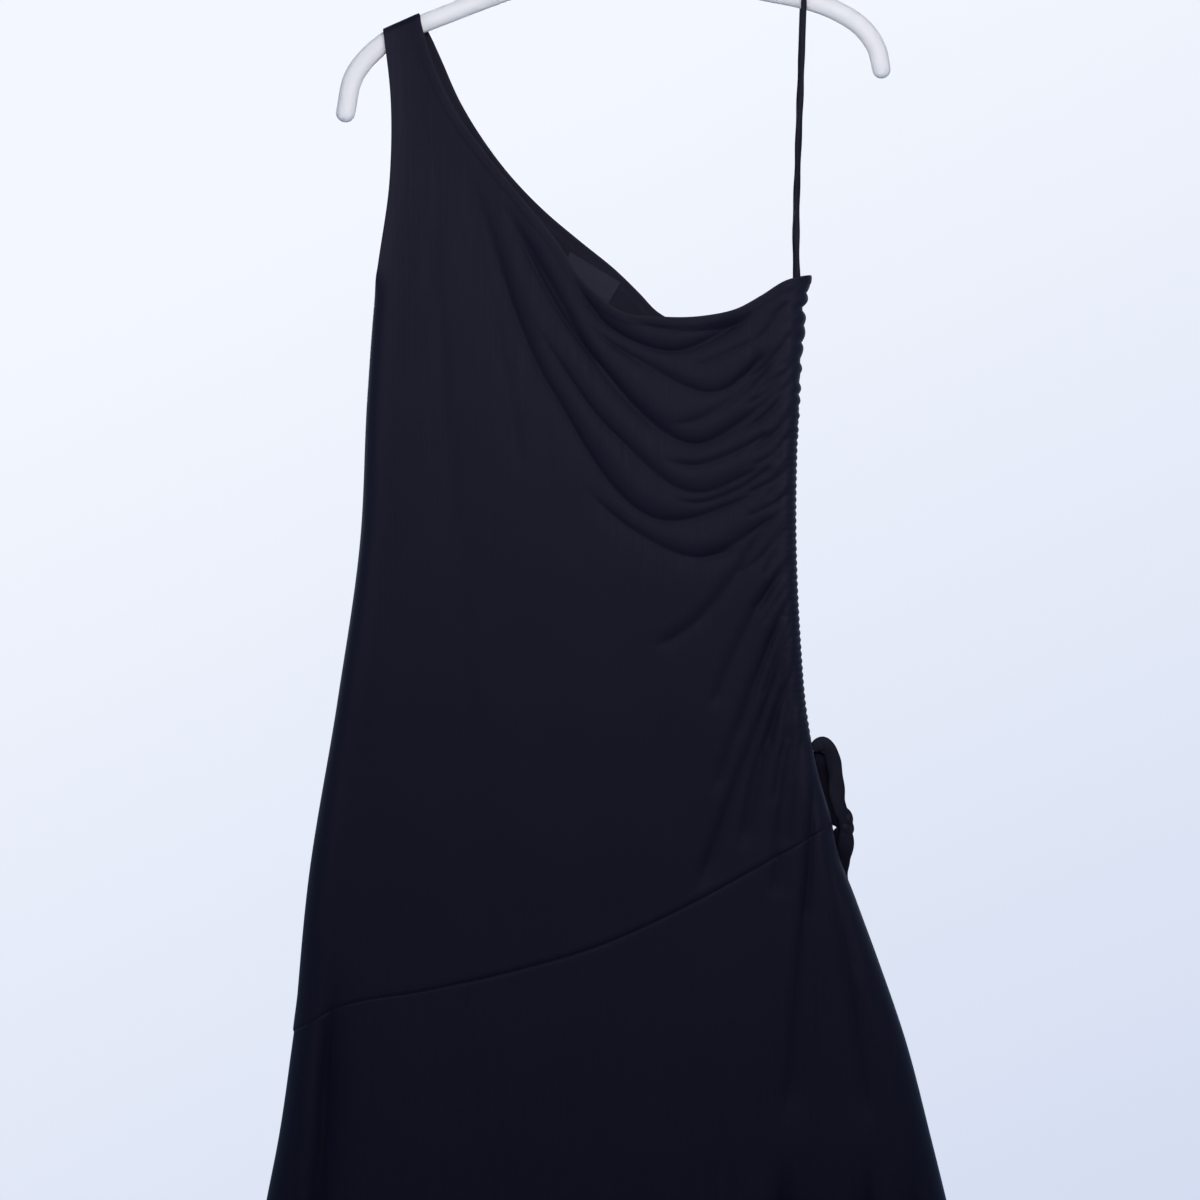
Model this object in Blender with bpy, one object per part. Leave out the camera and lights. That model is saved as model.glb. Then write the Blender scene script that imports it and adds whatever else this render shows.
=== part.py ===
"""A one-shoulder a-line midi dress in black jersey, hanging on a plastic hanger.

The origin is the seat of the hanger's hook, where a rail bears it. +X is the side of the thin
strap, -Y is the front and +Z is up. Every table is in millimetres, as x from the hook's line and
as drop below the seat, and the solids are made in metres.
"""

import bmesh
import bpy
import numpy as np
from mathutils import Matrix, Vector

MM = 0.001

WALL = 1.1
SEAM_GAP = 0.3
SHOULDER_ROUND = 6.6
UNDERARM_FROM = 318.0
UNDERARM_TO = 346.0

ROWS = 39
WIDE_GATHERS = 9
FINE_GATHER_ROWS = 24
GATHERS_A_ROW = 2
RUCHED_ROWS = WIDE_GATHERS + FINE_GATHER_ROWS
RUCHED_COLUMNS = 3
ROW_CUTS = 3
LEFT_ROW_CROWDING = 1.6
SKIRT_ROWS = 11

WIDE_PUFF = 1.9
FINE_PUFF = 0.9
WIDE_SCALLOP = 1.7
FINE_SCALLOP = 0.6
PUFF_REACH = 4.0
SCALLOP_REACH = 6.0
SIZE_CHANGE_ROWS = 3
FIRST_ROW_FADE = 0.5
FIRST_ROW_SHARE = 0.4
LAST_ROW_FADE = 1.5

HANGER_DEPTH = 10.0
HANGER_STEPS = 27
HANGER_SEGMENTS = 10
TIP_TURNS = (35, 62, 82)
HOOK_BORE = 20.0
HOOK_WIRE = 3.5
HOOK_STEM = (66.8, 54.0, 48.0)
HOOK_FROM = -78
HOOK_TO = 205
HOOK_STEPS = 23
HOOK_SEGMENTS = 8

STRAP_WIDTH = 5.0
STRAP_THICKNESS = 1.4
STRAP_STEPS = 17
STRAP_SEGMENTS = 6
TIE_WIDTH = 8.6
TIE_THICKNESS = 3.4
TIE_STEP = 5.0
TIE_SEGMENTS = 10
TIE_START_SHARE = 0.5
TIE_START_LENGTH = 12.0
KNOT_SEGMENTS = 12
KNOT_RINGS = 8

# The seams and edges of the panels, each as (x, drop) down or across the garment.
SHOULDER_SEAM = [(-178, 132), (-151, 121.8)]
LEFT_EDGE = [
    (-178, 132), (-173.3, 187), (-174.2, 250), (-184.4, 328), (-191.7, 421),
    (-197.1, 530), (-214.7, 655), (-237.6, 796), (-248.5, 912),
]
RIGHT_EDGE = [
    (150, 324), (146.2, 359), (143.3, 421), (141.3, 530), (144.8, 611), (149.4, 664), (155, 697),
    (169, 750),
]
FRONT_NECK = [
    (-151, 121.8), (-140.6, 159), (-126.5, 191), (-99, 230.5), (-71, 265.5), (-46, 296.5),
    (-21, 332.5), (7.5, 354), (36, 357.5), (67.5, 357), (95.5, 351), (114, 341), (132.5, 329.5),
    (150, 324),
]
BACK_NECK = [
    (-151, 121.8), (-146, 134.5), (-138.5, 150), (-120, 187.5), (-101, 218.5), (-82, 243.5),
    (-54, 272.5), (-26, 296), (2.5, 319), (21, 337), (34, 350.5), (50, 359), (70, 361.5),
    (100, 354.5), (132.5, 331.5), (150, 324),
]
HIP_SEAM = [
    (-248.5, 912), (-217, 893), (-143, 877.5), (-65, 859.5), (-11, 843), (59, 811), (114, 781),
    (169, 750),
]
SKIRT_LEFT = [(-248.5, 912), (-261, 998), (-270, 1044), (-318, 1300)]
SKIRT_RIGHT = [
    (169, 750), (172.4, 768), (188, 811), (205.3, 858), (226.5, 920), (246.8, 998), (258.2, 1044),
    (312, 1300),
]
HEM = [(-318, 1300), (-160, 1309), (0, 1311), (160, 1308), (312, 1300)]

# How far the front and the back stand from the middle at each drop, and how wide their sides
# round over.
DEPTHS = [
    # drop, front, back, side round
    (120, 6.8, 6.8, 18),
    (240, 8.5, 8.5, 18),
    (330, 12.5, 11.5, 18),
    (430, 16.0, 13.5, 18),
    (560, 18.5, 15.0, 19),
    (700, 20.0, 17.0, 22),
    (820, 23.0, 20.0, 30),
    (1000, 30.0, 26.0, 52),
    (1311, 40.0, 36.0, 90),
]

# Where the panels have their columns: as fractions of the way across, and how many to each.
FRONT_COLUMNS = [
    # from, to, columns
    (0.0, 0.085, 4),
    (0.085, 0.115, 3),
    (0.115, 0.35, 4),
    (0.35, 0.94, 15),
    (0.94, 0.985, 3),
    (0.985, 1.0, 2),
]
BACK_COLUMNS = [
    (0.0, 0.085, 3),
    (0.085, 0.115, 3),
    (0.115, 0.94, 9),
    (0.94, 0.985, 3),
    (0.985, 1.0, 2),
]
SHOULDER_SPAN = 0.085

# The troughs that the front's cloth falls in, each through four points, as (x, drop).
FRONT_FOLDS = [
    # start, first bend, second bend, end, depth, width, how much wider it ends
    ((-49, 307), (-1, 367), (41, 384), (111, 355), 6.0, 8.0, 1.0),
    ((-28, 360), (20, 392), (78, 416), (125, 380), 4.0, 8.0, 1.0),
    ((39, 442), (64, 438), (90, 423), (122, 394), 3.0, 7.0, 1.0),
    ((-92, 260), (-19, 385), (65, 456), (128, 417), 6.0, 9.0, 1.0),
    ((-65, 359), (0, 448), (62, 494), (122, 470), 4.5, 8.0, 1.0),
    ((-114, 237), (-48, 415), (36, 515), (130, 488), 6.0, 9.0, 1.0),
    ((-27, 487), (16, 524), (62, 544), (131, 508), 4.0, 8.0, 1.0),
    ((130, 518), (100, 549), (65, 593), (23, 621), 3.5, 8.0, 1.2),
    ((128, 551), (103, 598), (87, 627), (67, 671), 3.0, 7.0, 1.2),
    ((131, 582), (113, 627), (89, 707), (67, 757), 4.0, 8.0, 1.3),
    ((136, 603), (118, 647), (93, 721), (65, 800), 4.0, 8.0, 1.3),
    ((140, 629), (125, 678), (109, 739), (97, 790), 6.5, 9.0, 1.4),
    ((144, 664), (133, 718), (129, 758), (123, 840), 3.5, 8.0, 1.3),
    ((152, 758), (147, 822), (131, 925), (112, 1309), 13.0, 11.0, 2.6),
    ((161, 757), (175, 836), (190, 940), (205, 1306), 8.0, 9.0, 2.4),
    ((196, 899), (208, 949), (227, 1045), (262, 1303), 9.0, 10.0, 1.6),
    ((-198, 647), (-210, 815), (-225, 945), (-262, 1304), 9.0, 10.0, 2.2),
    ((-130, 1062), (-137, 1130), (-147, 1220), (-158, 1308), 12.0, 17.0, 1.6),
    ((0, 1050), (-4, 1130), (-12, 1220), (-22, 1310), 12.0, 17.0, 1.6),
]
BACK_FOLDS = [
    ((-60, 318), (0, 392), (60, 408), (126, 372), 4.0, 12.0, 1.0),
    ((-96, 290), (-20, 432), (62, 488), (126, 446), 5.0, 12.0, 1.0),
    ((-60, 410), (0, 505), (60, 548), (128, 522), 4.5, 12.0, 1.0),
    ((128, 570), (100, 622), (70, 680), (30, 730), 4.0, 12.0, 1.2),
    ((138, 618), (112, 700), (88, 770), (60, 850), 5.0, 12.0, 1.4),
    ((150, 770), (150, 860), (160, 1010), (176, 1307), 12.0, 14.0, 2.0),
    ((-205, 690), (-216, 830), (-232, 980), (-256, 1304), 9.0, 13.0, 1.9),
    ((-90, 910), (-98, 1020), (-110, 1150), (-124, 1309), 12.0, 19.0, 1.5),
    ((44, 880), (42, 1010), (40, 1150), (36, 1310), 12.0, 19.0, 1.5),
]
FOLD_START_TAPER = 0.22
FOLD_END_TAPER = 0.12
FOLD_SOFTNESS = 3.0
FOLD_SAMPLES = 40
# A fold whose end lies below this drop runs out at the hem, and no fold leaves the cloth nearer
# to the middle than this share of its depth.
OPEN_FOLD_DROP = 1290.0
LEAST_DEPTH = 0.35
# Points this close to a side edge count as on it.
EDGE_SLACK = 0.05
EDGE_SAMPLES = 1500

# The hanger's line from its left tip to its right tip, and how tall the moulding is there.
HANGER_LINE = [
    # x, drop, height
    (-210, 197, 14),
    (-202, 168.5, 14),
    (-186, 150, 14),
    (-166, 136.4, 13),
    (-151, 129.8, 13),
    (-136, 124.5, 13),
    (-89, 106, 13.5),
    (-35, 86, 16),
    (0, 76, 20),
    (36, 83, 16),
    (80, 94, 14),
    (122, 103.7, 14),
    (145, 108, 14),
    (172, 117.5, 14),
    (196, 134, 14),
    (206, 148, 14),
    (211, 165, 13.5),
]

# The strap's loop over the hanger's arm, seen from the front and from the side.
STRAP_SIDE = [
    # x, drop, y
    (142.5, 325.3, -8.1),
    (142.0, 290, -7.8),
    (143.6, 230, -7.4),
    (146.0, 160, -7.0),
    (147.6, 112, -7.1),
    (147.9, 104.2, -6.8),
    (148.0, 100.9, -4.2),
]
STRAP_TOP = (148.1, 99.5, 0.0)

# The two ends of the side's drawstring, from the channel to the knot that holds them.
KNOT_AT = (180.4, 750.5, 0)
KNOT_SIZE = (6.2, 6.4, 10.5)
TIES = {
    # as (x, drop, y)
    "tie_outer": [
        (155.8, 692, -3.5), (159.4, 688.9, -3.7), (164, 688.6, -3.8), (168.4, 692.4, -3.9),
        (171.6, 699.4, -3.9), (173.5, 708, -3.9), (174.4, 717, -3.9), (174.8, 726, -3.8),
        (175.6, 734, -3.6), (177.4, 740.6, -3.2),
    ],
    "tie_inner": [
        (158.8, 694.6, 3.5), (161.8, 703, 5.4), (162.9, 713, 8.4), (163.4, 724, 12.2),
        (164.4, 734, 14.3), (167.4, 742.4, 13.4), (171, 747.4, 10.3), (175.7, 750, 6),
    ],
    "tie_outer_tail": [
        (181, 762, -0.8), (181.2, 770, 1.6), (180.4, 778, 8), (179, 788, 14.6), (177.8, 797, 18.4),
        (176.8, 806, 21),
    ],
    "tie_inner_tail": [
        (178, 758, 4.9), (173.2, 767, 13.2), (169.4, 778, 18.8), (168, 789, 21.4),
        (167.2, 800, 23),
    ],
}

# The blank label inside the back of the neck: its top corner, and its run along the neckline.
LABEL_CORNER = (-34.4, 304.0)
LABEL_LENGTH = 47.0
LABEL_HEIGHT = 22.0
LABEL_SLOPE = np.radians(31)
LABEL_WALL = 1.0
LABEL_GAP = 0.4
LABEL_CUTS = (8, 4)

# Each finish's base colour and roughness.
FINISHES = {
    "black_jersey": ((0.012, 0.012, 0.020), 0.62),
    "hanger_plastic": ((0.72, 0.73, 0.75), 0.38),
    "label_tape": ((0.024, 0.025, 0.031), 0.70),
}


def clear_scene():
    for old in list(bpy.data.objects):
        bpy.data.objects.remove(old, do_unlink=True)


def finish_of(name):
    colour, roughness = FINISHES[name]
    made = bpy.data.materials.new(name)
    made.use_nodes = True
    shader = made.node_tree.nodes["Principled BSDF"]
    shader.inputs["Base Color"].default_value = (*colour, 1.0)
    shader.inputs["Roughness"].default_value = roughness
    shader.inputs["Metallic"].default_value = 0.0
    return made


def smooth_path(points, fractions):
    """Points at these fractions of the smooth curve that passes through a table's points."""
    points = np.asarray(points, float)
    steps = np.linalg.norm(np.diff(points, axis=0), axis=1)
    knots = np.concatenate([[0.0], np.cumsum(steps)])
    knots /= knots[-1]
    slopes = np.gradient(points, knots, axis=0)
    fractions = np.asarray(fractions, float)
    first = np.clip(np.searchsorted(knots, fractions, side="right") - 1, 0, len(knots) - 2)
    span = (knots[first + 1] - knots[first])[:, None]
    u = (fractions - knots[first])[:, None] / span
    rise = u * u * (3 - 2 * u)
    return (
        (1 - rise) * points[first]
        + rise * points[first + 1]
        + span * u * (1 - u) ** 2 * slopes[first]
        - span * u * u * (1 - u) * slopes[first + 1]
    )


def smooth_step(value):
    value = np.clip(value, 0.0, 1.0)
    return value * value * (3 - 2 * value)


def edge_at(tables, drop):
    """x of an edge at each drop, where the tables follow each other down the garment."""
    steps = np.linspace(0, 1, EDGE_SAMPLES)
    line = np.concatenate([smooth_path(table, steps) for table in tables])
    return np.interp(drop, line[:, 1], line[:, 0])


def quarter_round(distance, radius):
    """0 at an edge, 1 from radius on, and the quarter of a circle between."""
    left = 1 - np.clip(distance / radius, 0.0, 1.0)
    return np.sqrt(1 - left * left)


def troughs(folds, x, drop):
    """How far the folds carry the cloth inwards at each point."""
    total = np.zeros(len(x))
    for *points, depth, width, wider in folds:
        along = np.linspace(0, 1, FOLD_SAMPLES)
        line = smooth_path(points, along)
        away = np.hypot(x[:, None] - line[:, 0], drop[:, None] - line[:, 1])
        nearest = away.argmin(axis=1)
        away = away[np.arange(len(x)), nearest]
        share = along[nearest]
        reach = width * (1 + (wider - 1) * share)
        taper = smooth_step(share / FOLD_START_TAPER)
        if points[-1][1] < OPEN_FOLD_DROP:
            taper = taper * smooth_step((1 - share) / FOLD_END_TAPER)
        rounded = np.sqrt(away * away + FOLD_SOFTNESS**2) - FOLD_SOFTNESS
        total += depth * taper * np.exp(-rounded / reach)
    return total


def gather_phase(drop):
    """Which gather of the ruched seam a point lies in, counted from the top."""
    top, bottom = RIGHT_EDGE[0][1], RIGHT_EDGE[-1][1]
    row = (drop - top) / (bottom - top) * ROWS
    fine = np.clip(row - WIDE_GATHERS, 0, None) * GATHERS_A_ROW
    return np.minimum(row, WIDE_GATHERS) + fine, row


def gather_size(row, wide, fine):
    """The size of the gathers down the seam: wide at the top, fine below, none past its end."""
    from_wide = row - (WIDE_GATHERS - SIZE_CHANGE_ROWS)
    size = wide + (fine - wide) * smooth_step(from_wide / SIZE_CHANGE_ROWS)
    start = smooth_step(row / FIRST_ROW_FADE + FIRST_ROW_SHARE)
    end = smooth_step((RUCHED_ROWS + 0.5 - row) / LAST_ROW_FADE)
    return size * start * end


def cloth_points(x, drop, front):
    """The panel's inner surface: (x, y, drop) in millimetres for points given from the front."""
    side = -1 if front else 1
    drops, fronts, backs, rounds = zip(*DEPTHS)
    depth = np.interp(drop, drops, fronts if front else backs)
    side_round = np.interp(drop, drops, rounds)
    from_left = x - edge_at([LEFT_EDGE, SKIRT_LEFT], drop)
    from_right = edge_at([RIGHT_EDGE, SKIRT_RIGHT], drop) - x
    from_left = np.clip(from_left - EDGE_SLACK, 0.0, None)
    from_right = np.clip(from_right - EDGE_SLACK, 0.0, None)
    sewn = smooth_step((drop - UNDERARM_FROM) / (UNDERARM_TO - UNDERARM_FROM))
    left_close = 1 - sewn * (1 - quarter_round(from_left, side_round))
    right_close = quarter_round(from_right, side_round)
    (x0, drop0), (x1, drop1) = SHOULDER_SEAM
    below_seam = drop - (drop0 + (x - x0) * (drop1 - drop0) / (x1 - x0))
    over_arm = quarter_round(np.clip(below_seam, 0.0, None), SHOULDER_ROUND)
    closed = left_close * right_close * over_arm
    folds = troughs(FRONT_FOLDS if front else BACK_FOLDS, x, drop)
    phase, row = gather_phase(drop)
    reach = from_right / PUFF_REACH
    puff = gather_size(row, WIDE_PUFF, FINE_PUFF) * reach * np.exp(1 - reach)
    puff *= np.cos(2 * np.pi * phase)
    scallop = gather_size(row, WIDE_SCALLOP, FINE_SCALLOP) * np.cos(2 * np.pi * phase)
    x = x + scallop * np.exp(-from_right / SCALLOP_REACH)
    depth = np.clip(depth - folds, LEAST_DEPTH * depth, None)
    y = side * (SEAM_GAP / 2 + depth * closed + puff)
    return np.column_stack([x, y, drop])


def patch(top, bottom, left, right, s, t):
    """The surface between four edges, each a function of its fraction that gives (x, drop)."""
    zero, one = np.zeros(1), np.ones(1)
    s_, t_ = s[:, None], t[:, None]
    corners = (
        (1 - s_) * (1 - t_) * top(zero)
        + s_ * (1 - t_) * top(one)
        + (1 - s_) * t_ * bottom(zero)
        + s_ * t_ * bottom(one)
    )
    across = (1 - t_) * top(s) + t_ * bottom(s)
    down = (1 - s_) * left(t) + s_ * right(t)
    return across + down - corners


def along(table):
    return lambda fractions: smooth_path(table, fractions)


def by_drop(table):
    """An edge whose fraction goes evenly with the drop, so that its rows are level steps."""
    def at(fractions):
        drop = table[0][1] + (table[-1][1] - table[0][1]) * np.asarray(fractions, float)
        return np.column_stack([edge_at([table], drop), drop])
    return at


def crowded(table, power):
    return lambda fractions: smooth_path(table, np.asarray(fractions, float) ** power)


def over_shoulder(neck):
    """The top edge of an upper panel: the shoulder seam, then the neckline."""
    def at(fractions):
        fractions = np.asarray(fractions, float)
        seam = smooth_path(SHOULDER_SEAM, np.clip(fractions / SHOULDER_SPAN, 0, 1))
        run = smooth_path(neck, np.clip((fractions - SHOULDER_SPAN) / (1 - SHOULDER_SPAN), 0, 1))
        return np.where((fractions < SHOULDER_SPAN)[:, None], seam, run)
    return at


def columns_of(table):
    parts = [np.linspace(start, end, count, endpoint=False) for start, end, count in table]
    return np.concatenate([*parts, [1.0]])


def flat_grid(columns, rows, ruched):
    """A grid in (s, -t), with rows cut finer beside the ruched seam."""
    bm = bmesh.new()
    across = len(columns) - 1
    bmesh.ops.create_grid(bm, x_segments=across, y_segments=rows, size=0.5)
    for vert in bm.verts:
        column = round((vert.co.x + 0.5) * across)
        row = round((0.5 - vert.co.y) * rows)
        vert.co = (columns[column], -row / rows, 0.0)
    if ruched:
        near = columns[-1 - RUCHED_COLUMNS] - 1e-6
        last = -(RUCHED_ROWS + 0.5) / rows
        fine = [
            edge for edge in bm.edges
            if all(vert.co.x > near and vert.co.y > last for vert in edge.verts)
            and abs(edge.verts[0].co.x - edge.verts[1].co.x) < 1e-9
        ]
        bmesh.ops.subdivide_edges(bm, edges=fine, cuts=ROW_CUTS, use_grid_fill=True)
        bmesh.ops.poke(bm, faces=[face for face in bm.faces if len(face.verts) > 4])
    return bm


def object_of(name, mesh, finish):
    made = bpy.data.objects.new(name, mesh)
    bpy.context.scene.collection.objects.link(made)
    mesh.materials.append(finish)
    mesh.shade_smooth()
    return made


def panel(name, edges, columns, rows, front, finish, ruched=False, lower=0.0):
    """One cut piece of the dress, as a wall of even thickness outside its inner surface."""
    bm = flat_grid(columns, rows, ruched)
    s = np.array([vert.co.x for vert in bm.verts])
    t = np.array([-vert.co.y for vert in bm.verts])
    flat = patch(*edges, s, t)
    points = cloth_points(flat[:, 0], flat[:, 1], front)
    for vert, (x, y, drop) in zip(bm.verts, points):
        vert.co = (x * MM, y * MM, -(drop + lower) * MM)
    if not front:
        bmesh.ops.reverse_faces(bm, faces=bm.faces)
    bmesh.ops.triangulate(bm, faces=bm.faces)
    mesh = bpy.data.meshes.new(name)
    bm.to_mesh(mesh)
    bm.free()
    made = object_of(name, mesh, finish)
    wall = made.modifiers.new("wall", "SOLIDIFY")
    wall.thickness = WALL * MM
    wall.offset = 1.0
    wall.use_even_offset = False
    return made


def dress_panels(jersey):
    left = crowded(LEFT_EDGE, LEFT_ROW_CROWDING)
    right = by_drop(RIGHT_EDGE)
    hip = along(HIP_SEAM)
    skirt = (hip, along(HEM), along(SKIRT_LEFT), along(SKIRT_RIGHT))
    for word, front, neck, table in (
        ("front", True, FRONT_NECK, FRONT_COLUMNS),
        ("back", False, BACK_NECK, BACK_COLUMNS),
    ):
        columns = columns_of(table)
        upper = (over_shoulder(neck), hip, left, right)
        panel(f"{word}_upper", upper, columns, ROWS, front, jersey, ruched=True)
        panel(f"{word}_skirt", skirt, columns, SKIRT_ROWS, front, jersey, lower=SEAM_GAP)


def loft(name, places, segments, finish):
    """A solid through rings: each place is a matrix that sets a unit circle."""
    bm = bmesh.new()
    before = None
    for number, place in enumerate(places):
        ring = bmesh.ops.create_circle(bm, segments=segments, radius=1.0, matrix=place)["verts"]
        edges = list({edge for vert in ring for edge in vert.link_edges if not edge.link_faces})
        if before:
            bmesh.ops.bridge_loops(bm, edges=before + edges)
        if number in (0, len(places) - 1):
            bmesh.ops.contextual_create(bm, geom=edges)
        before = edges
    bmesh.ops.recalc_face_normals(bm, faces=bm.faces)
    mesh = bpy.data.meshes.new(name)
    bm.to_mesh(mesh)
    bm.free()
    return object_of(name, mesh, finish)


def ring_places(points, wide, halves):
    """Matrices for rings along points: wide is the section's fixed direction, halves its sizes."""
    points = [Vector(point) for point in points]
    places = []
    for number, point in enumerate(points):
        ahead = points[min(number + 1, len(points) - 1)]
        behind = points[max(number - 1, 0)]
        along_it = (ahead - behind).normalized()
        side = (wide - along_it * wide.dot(along_it)).normalized()
        other = along_it.cross(side)
        size, thick = halves[number]
        turn = Matrix((side * size, other * thick, along_it)).transposed().to_4x4()
        places.append(Matrix.Translation(point) @ turn)
    return places


def hanger_arms(plastic):
    """The one-piece moulding that carries the dress, with round tips."""
    line = smooth_path(HANGER_LINE, np.linspace(0, 1, HANGER_STEPS))
    points, halves = [], []
    end_of = min(HANGER_LINE[0][2], HANGER_LINE[-1][2]) / 2
    for x, drop, height in line:
        points.append((x * MM, 0.0, -drop * MM))
        halves.append((HANGER_DEPTH / 2 * MM, height / 2 * MM))
    for end, inner in ((0, 1), (-1, -2)):
        tip = Vector(points[end])
        outward = (tip - Vector(points[inner])).normalized()
        size = halves[end]
        for turn in TIP_TURNS:
            reach = end_of * MM * np.sin(np.radians(turn))
            shrink = np.cos(np.radians(turn))
            ring = (size[0] * shrink, size[1] * shrink)
            place = len(points) if end else 0
            points.insert(place, tuple(tip + outward * reach))
            halves.insert(place, ring)
    places = ring_places(points, Vector((0, 1, 0)), halves)
    loft("hanger_arms", places, HANGER_SEGMENTS, plastic)


def hanger_hook(plastic):
    """The round hook, its bore open to one side and its seat on the origin."""
    centre_line = HOOK_BORE + HOOK_WIRE
    points = [(0.0, 0.0, -drop * MM) for drop in HOOK_STEM]
    for degrees in np.linspace(HOOK_FROM, HOOK_TO, HOOK_STEPS):
        turn = np.radians(degrees)
        x = centre_line * np.cos(turn)
        z = centre_line * np.sin(turn) - HOOK_BORE
        points.append((x * MM, 0.0, z * MM))
    halves = [(HOOK_WIRE * MM, HOOK_WIRE * MM)] * len(points)
    places = ring_places(points, Vector((0, 1, 0)), halves)
    loft("hanger_hook", places, HOOK_SEGMENTS, plastic)


def shoulder_strap(jersey):
    """The thin strap: up the front, over the arm and down the back."""
    front = smooth_path(STRAP_SIDE, np.linspace(0, 1, STRAP_STEPS))
    back = front[::-1] * np.array([1, 1, -1])
    line = [*front, STRAP_TOP, *back]
    points = [(x * MM, y * MM, -drop * MM) for x, drop, y in line]
    halves = [(STRAP_WIDTH / 2 * MM, STRAP_THICKNESS / 2 * MM)] * len(points)
    places = ring_places(points, Vector((1, 0, 0)), halves)
    loft("shoulder_strap", places, STRAP_SEGMENTS, jersey)


def drawstring(jersey):
    """The two ends of the drawstring, narrow where they leave the channel, and their knot."""
    for name, table in TIES.items():
        length = np.linalg.norm(np.diff(np.array(table, float), axis=0), axis=1).sum()
        steps = np.linspace(0, 1, round(length / TIE_STEP) + 1)
        line = smooth_path(table, steps)
        points = [(x * MM, y * MM, -drop * MM) for x, drop, y in line]
        full = np.ones(len(steps))
        if not name.endswith("tail"):
            grown = smooth_step(steps * length / TIE_START_LENGTH)
            full = TIE_START_SHARE + (1 - TIE_START_SHARE) * grown
        halves = [(TIE_THICKNESS / 2 * MM, TIE_WIDTH / 2 * f * MM) for f in full]
        places = ring_places(points, Vector((0, 1, 0)), halves)
        loft(name, places, TIE_SEGMENTS, jersey)
    bm = bmesh.new()
    x, drop, y = KNOT_AT
    size = Matrix.Diagonal((*(half * MM for half in KNOT_SIZE), 1.0))
    place = Matrix.Translation((x * MM, y * MM, -drop * MM)) @ size
    bmesh.ops.create_uvsphere(
        bm, u_segments=KNOT_SEGMENTS, v_segments=KNOT_RINGS, radius=1.0, matrix=place
    )
    mesh = bpy.data.meshes.new("tie_knot")
    bm.to_mesh(mesh)
    bm.free()
    object_of("tie_knot", mesh, jersey)


def neck_label(tape):
    """A blank woven label on the inner face of the back, made from the back's own points."""
    bm = bmesh.new()
    bmesh.ops.create_grid(bm, x_segments=LABEL_CUTS[0], y_segments=LABEL_CUTS[1], size=0.5)
    u = np.array([vert.co.x + 0.5 for vert in bm.verts]) * LABEL_LENGTH
    v = np.array([0.5 - vert.co.y for vert in bm.verts]) * LABEL_HEIGHT
    x = LABEL_CORNER[0] + u * np.cos(LABEL_SLOPE) - v * np.sin(LABEL_SLOPE)
    drop = LABEL_CORNER[1] + u * np.sin(LABEL_SLOPE) + v * np.cos(LABEL_SLOPE)
    for vert, (x_, y_, drop_) in zip(bm.verts, cloth_points(x, drop, False)):
        vert.co = (x_ * MM, (y_ - LABEL_GAP) * MM, -drop_ * MM)
    mesh = bpy.data.meshes.new("neck_label")
    bm.to_mesh(mesh)
    bm.free()
    made = object_of("neck_label", mesh, tape)
    wall = made.modifiers.new("wall", "SOLIDIFY")
    wall.thickness = LABEL_WALL * MM
    wall.offset = 1.0


def main():
    clear_scene()
    jersey = finish_of("black_jersey")
    plastic = finish_of("hanger_plastic")
    tape = finish_of("label_tape")
    dress_panels(jersey)
    shoulder_strap(jersey)
    drawstring(jersey)
    neck_label(tape)
    hanger_arms(plastic)
    hanger_hook(plastic)


main()
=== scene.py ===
"""Looks of a one-shoulder a-line midi dress in black jersey, hanging on a plastic hanger.

The tables are in millimetres: x from the line of the hanger's hook, drop below the hook's seat, and
y towards the back. The front of the dress faces -y. The meshes are made in metres.
"""

import bmesh
import bpy
import numpy as np
from mathutils import Matrix, Vector


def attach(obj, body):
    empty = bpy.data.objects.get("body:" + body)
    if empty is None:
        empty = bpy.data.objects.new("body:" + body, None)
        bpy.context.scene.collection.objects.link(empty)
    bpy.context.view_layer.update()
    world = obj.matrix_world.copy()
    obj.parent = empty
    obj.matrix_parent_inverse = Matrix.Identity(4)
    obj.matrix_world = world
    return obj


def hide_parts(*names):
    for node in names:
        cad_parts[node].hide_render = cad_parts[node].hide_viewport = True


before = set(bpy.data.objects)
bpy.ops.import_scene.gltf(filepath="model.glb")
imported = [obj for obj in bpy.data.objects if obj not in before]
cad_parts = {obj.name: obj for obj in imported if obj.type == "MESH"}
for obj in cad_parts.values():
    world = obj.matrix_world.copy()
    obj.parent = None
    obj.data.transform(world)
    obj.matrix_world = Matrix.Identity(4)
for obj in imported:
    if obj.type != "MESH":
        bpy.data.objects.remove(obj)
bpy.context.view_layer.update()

MM = 0.001
BACKWARDS = Vector((0, 1, 0))
SEED = 41

# The camera stands level in front of the middle of the picture.
VIEW_WIDTH = 0.936
VIEW_CENTRE = (-0.0109, -0.577)
VIEW_DISTANCE = 2.0
SENSOR = 36.0

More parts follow.
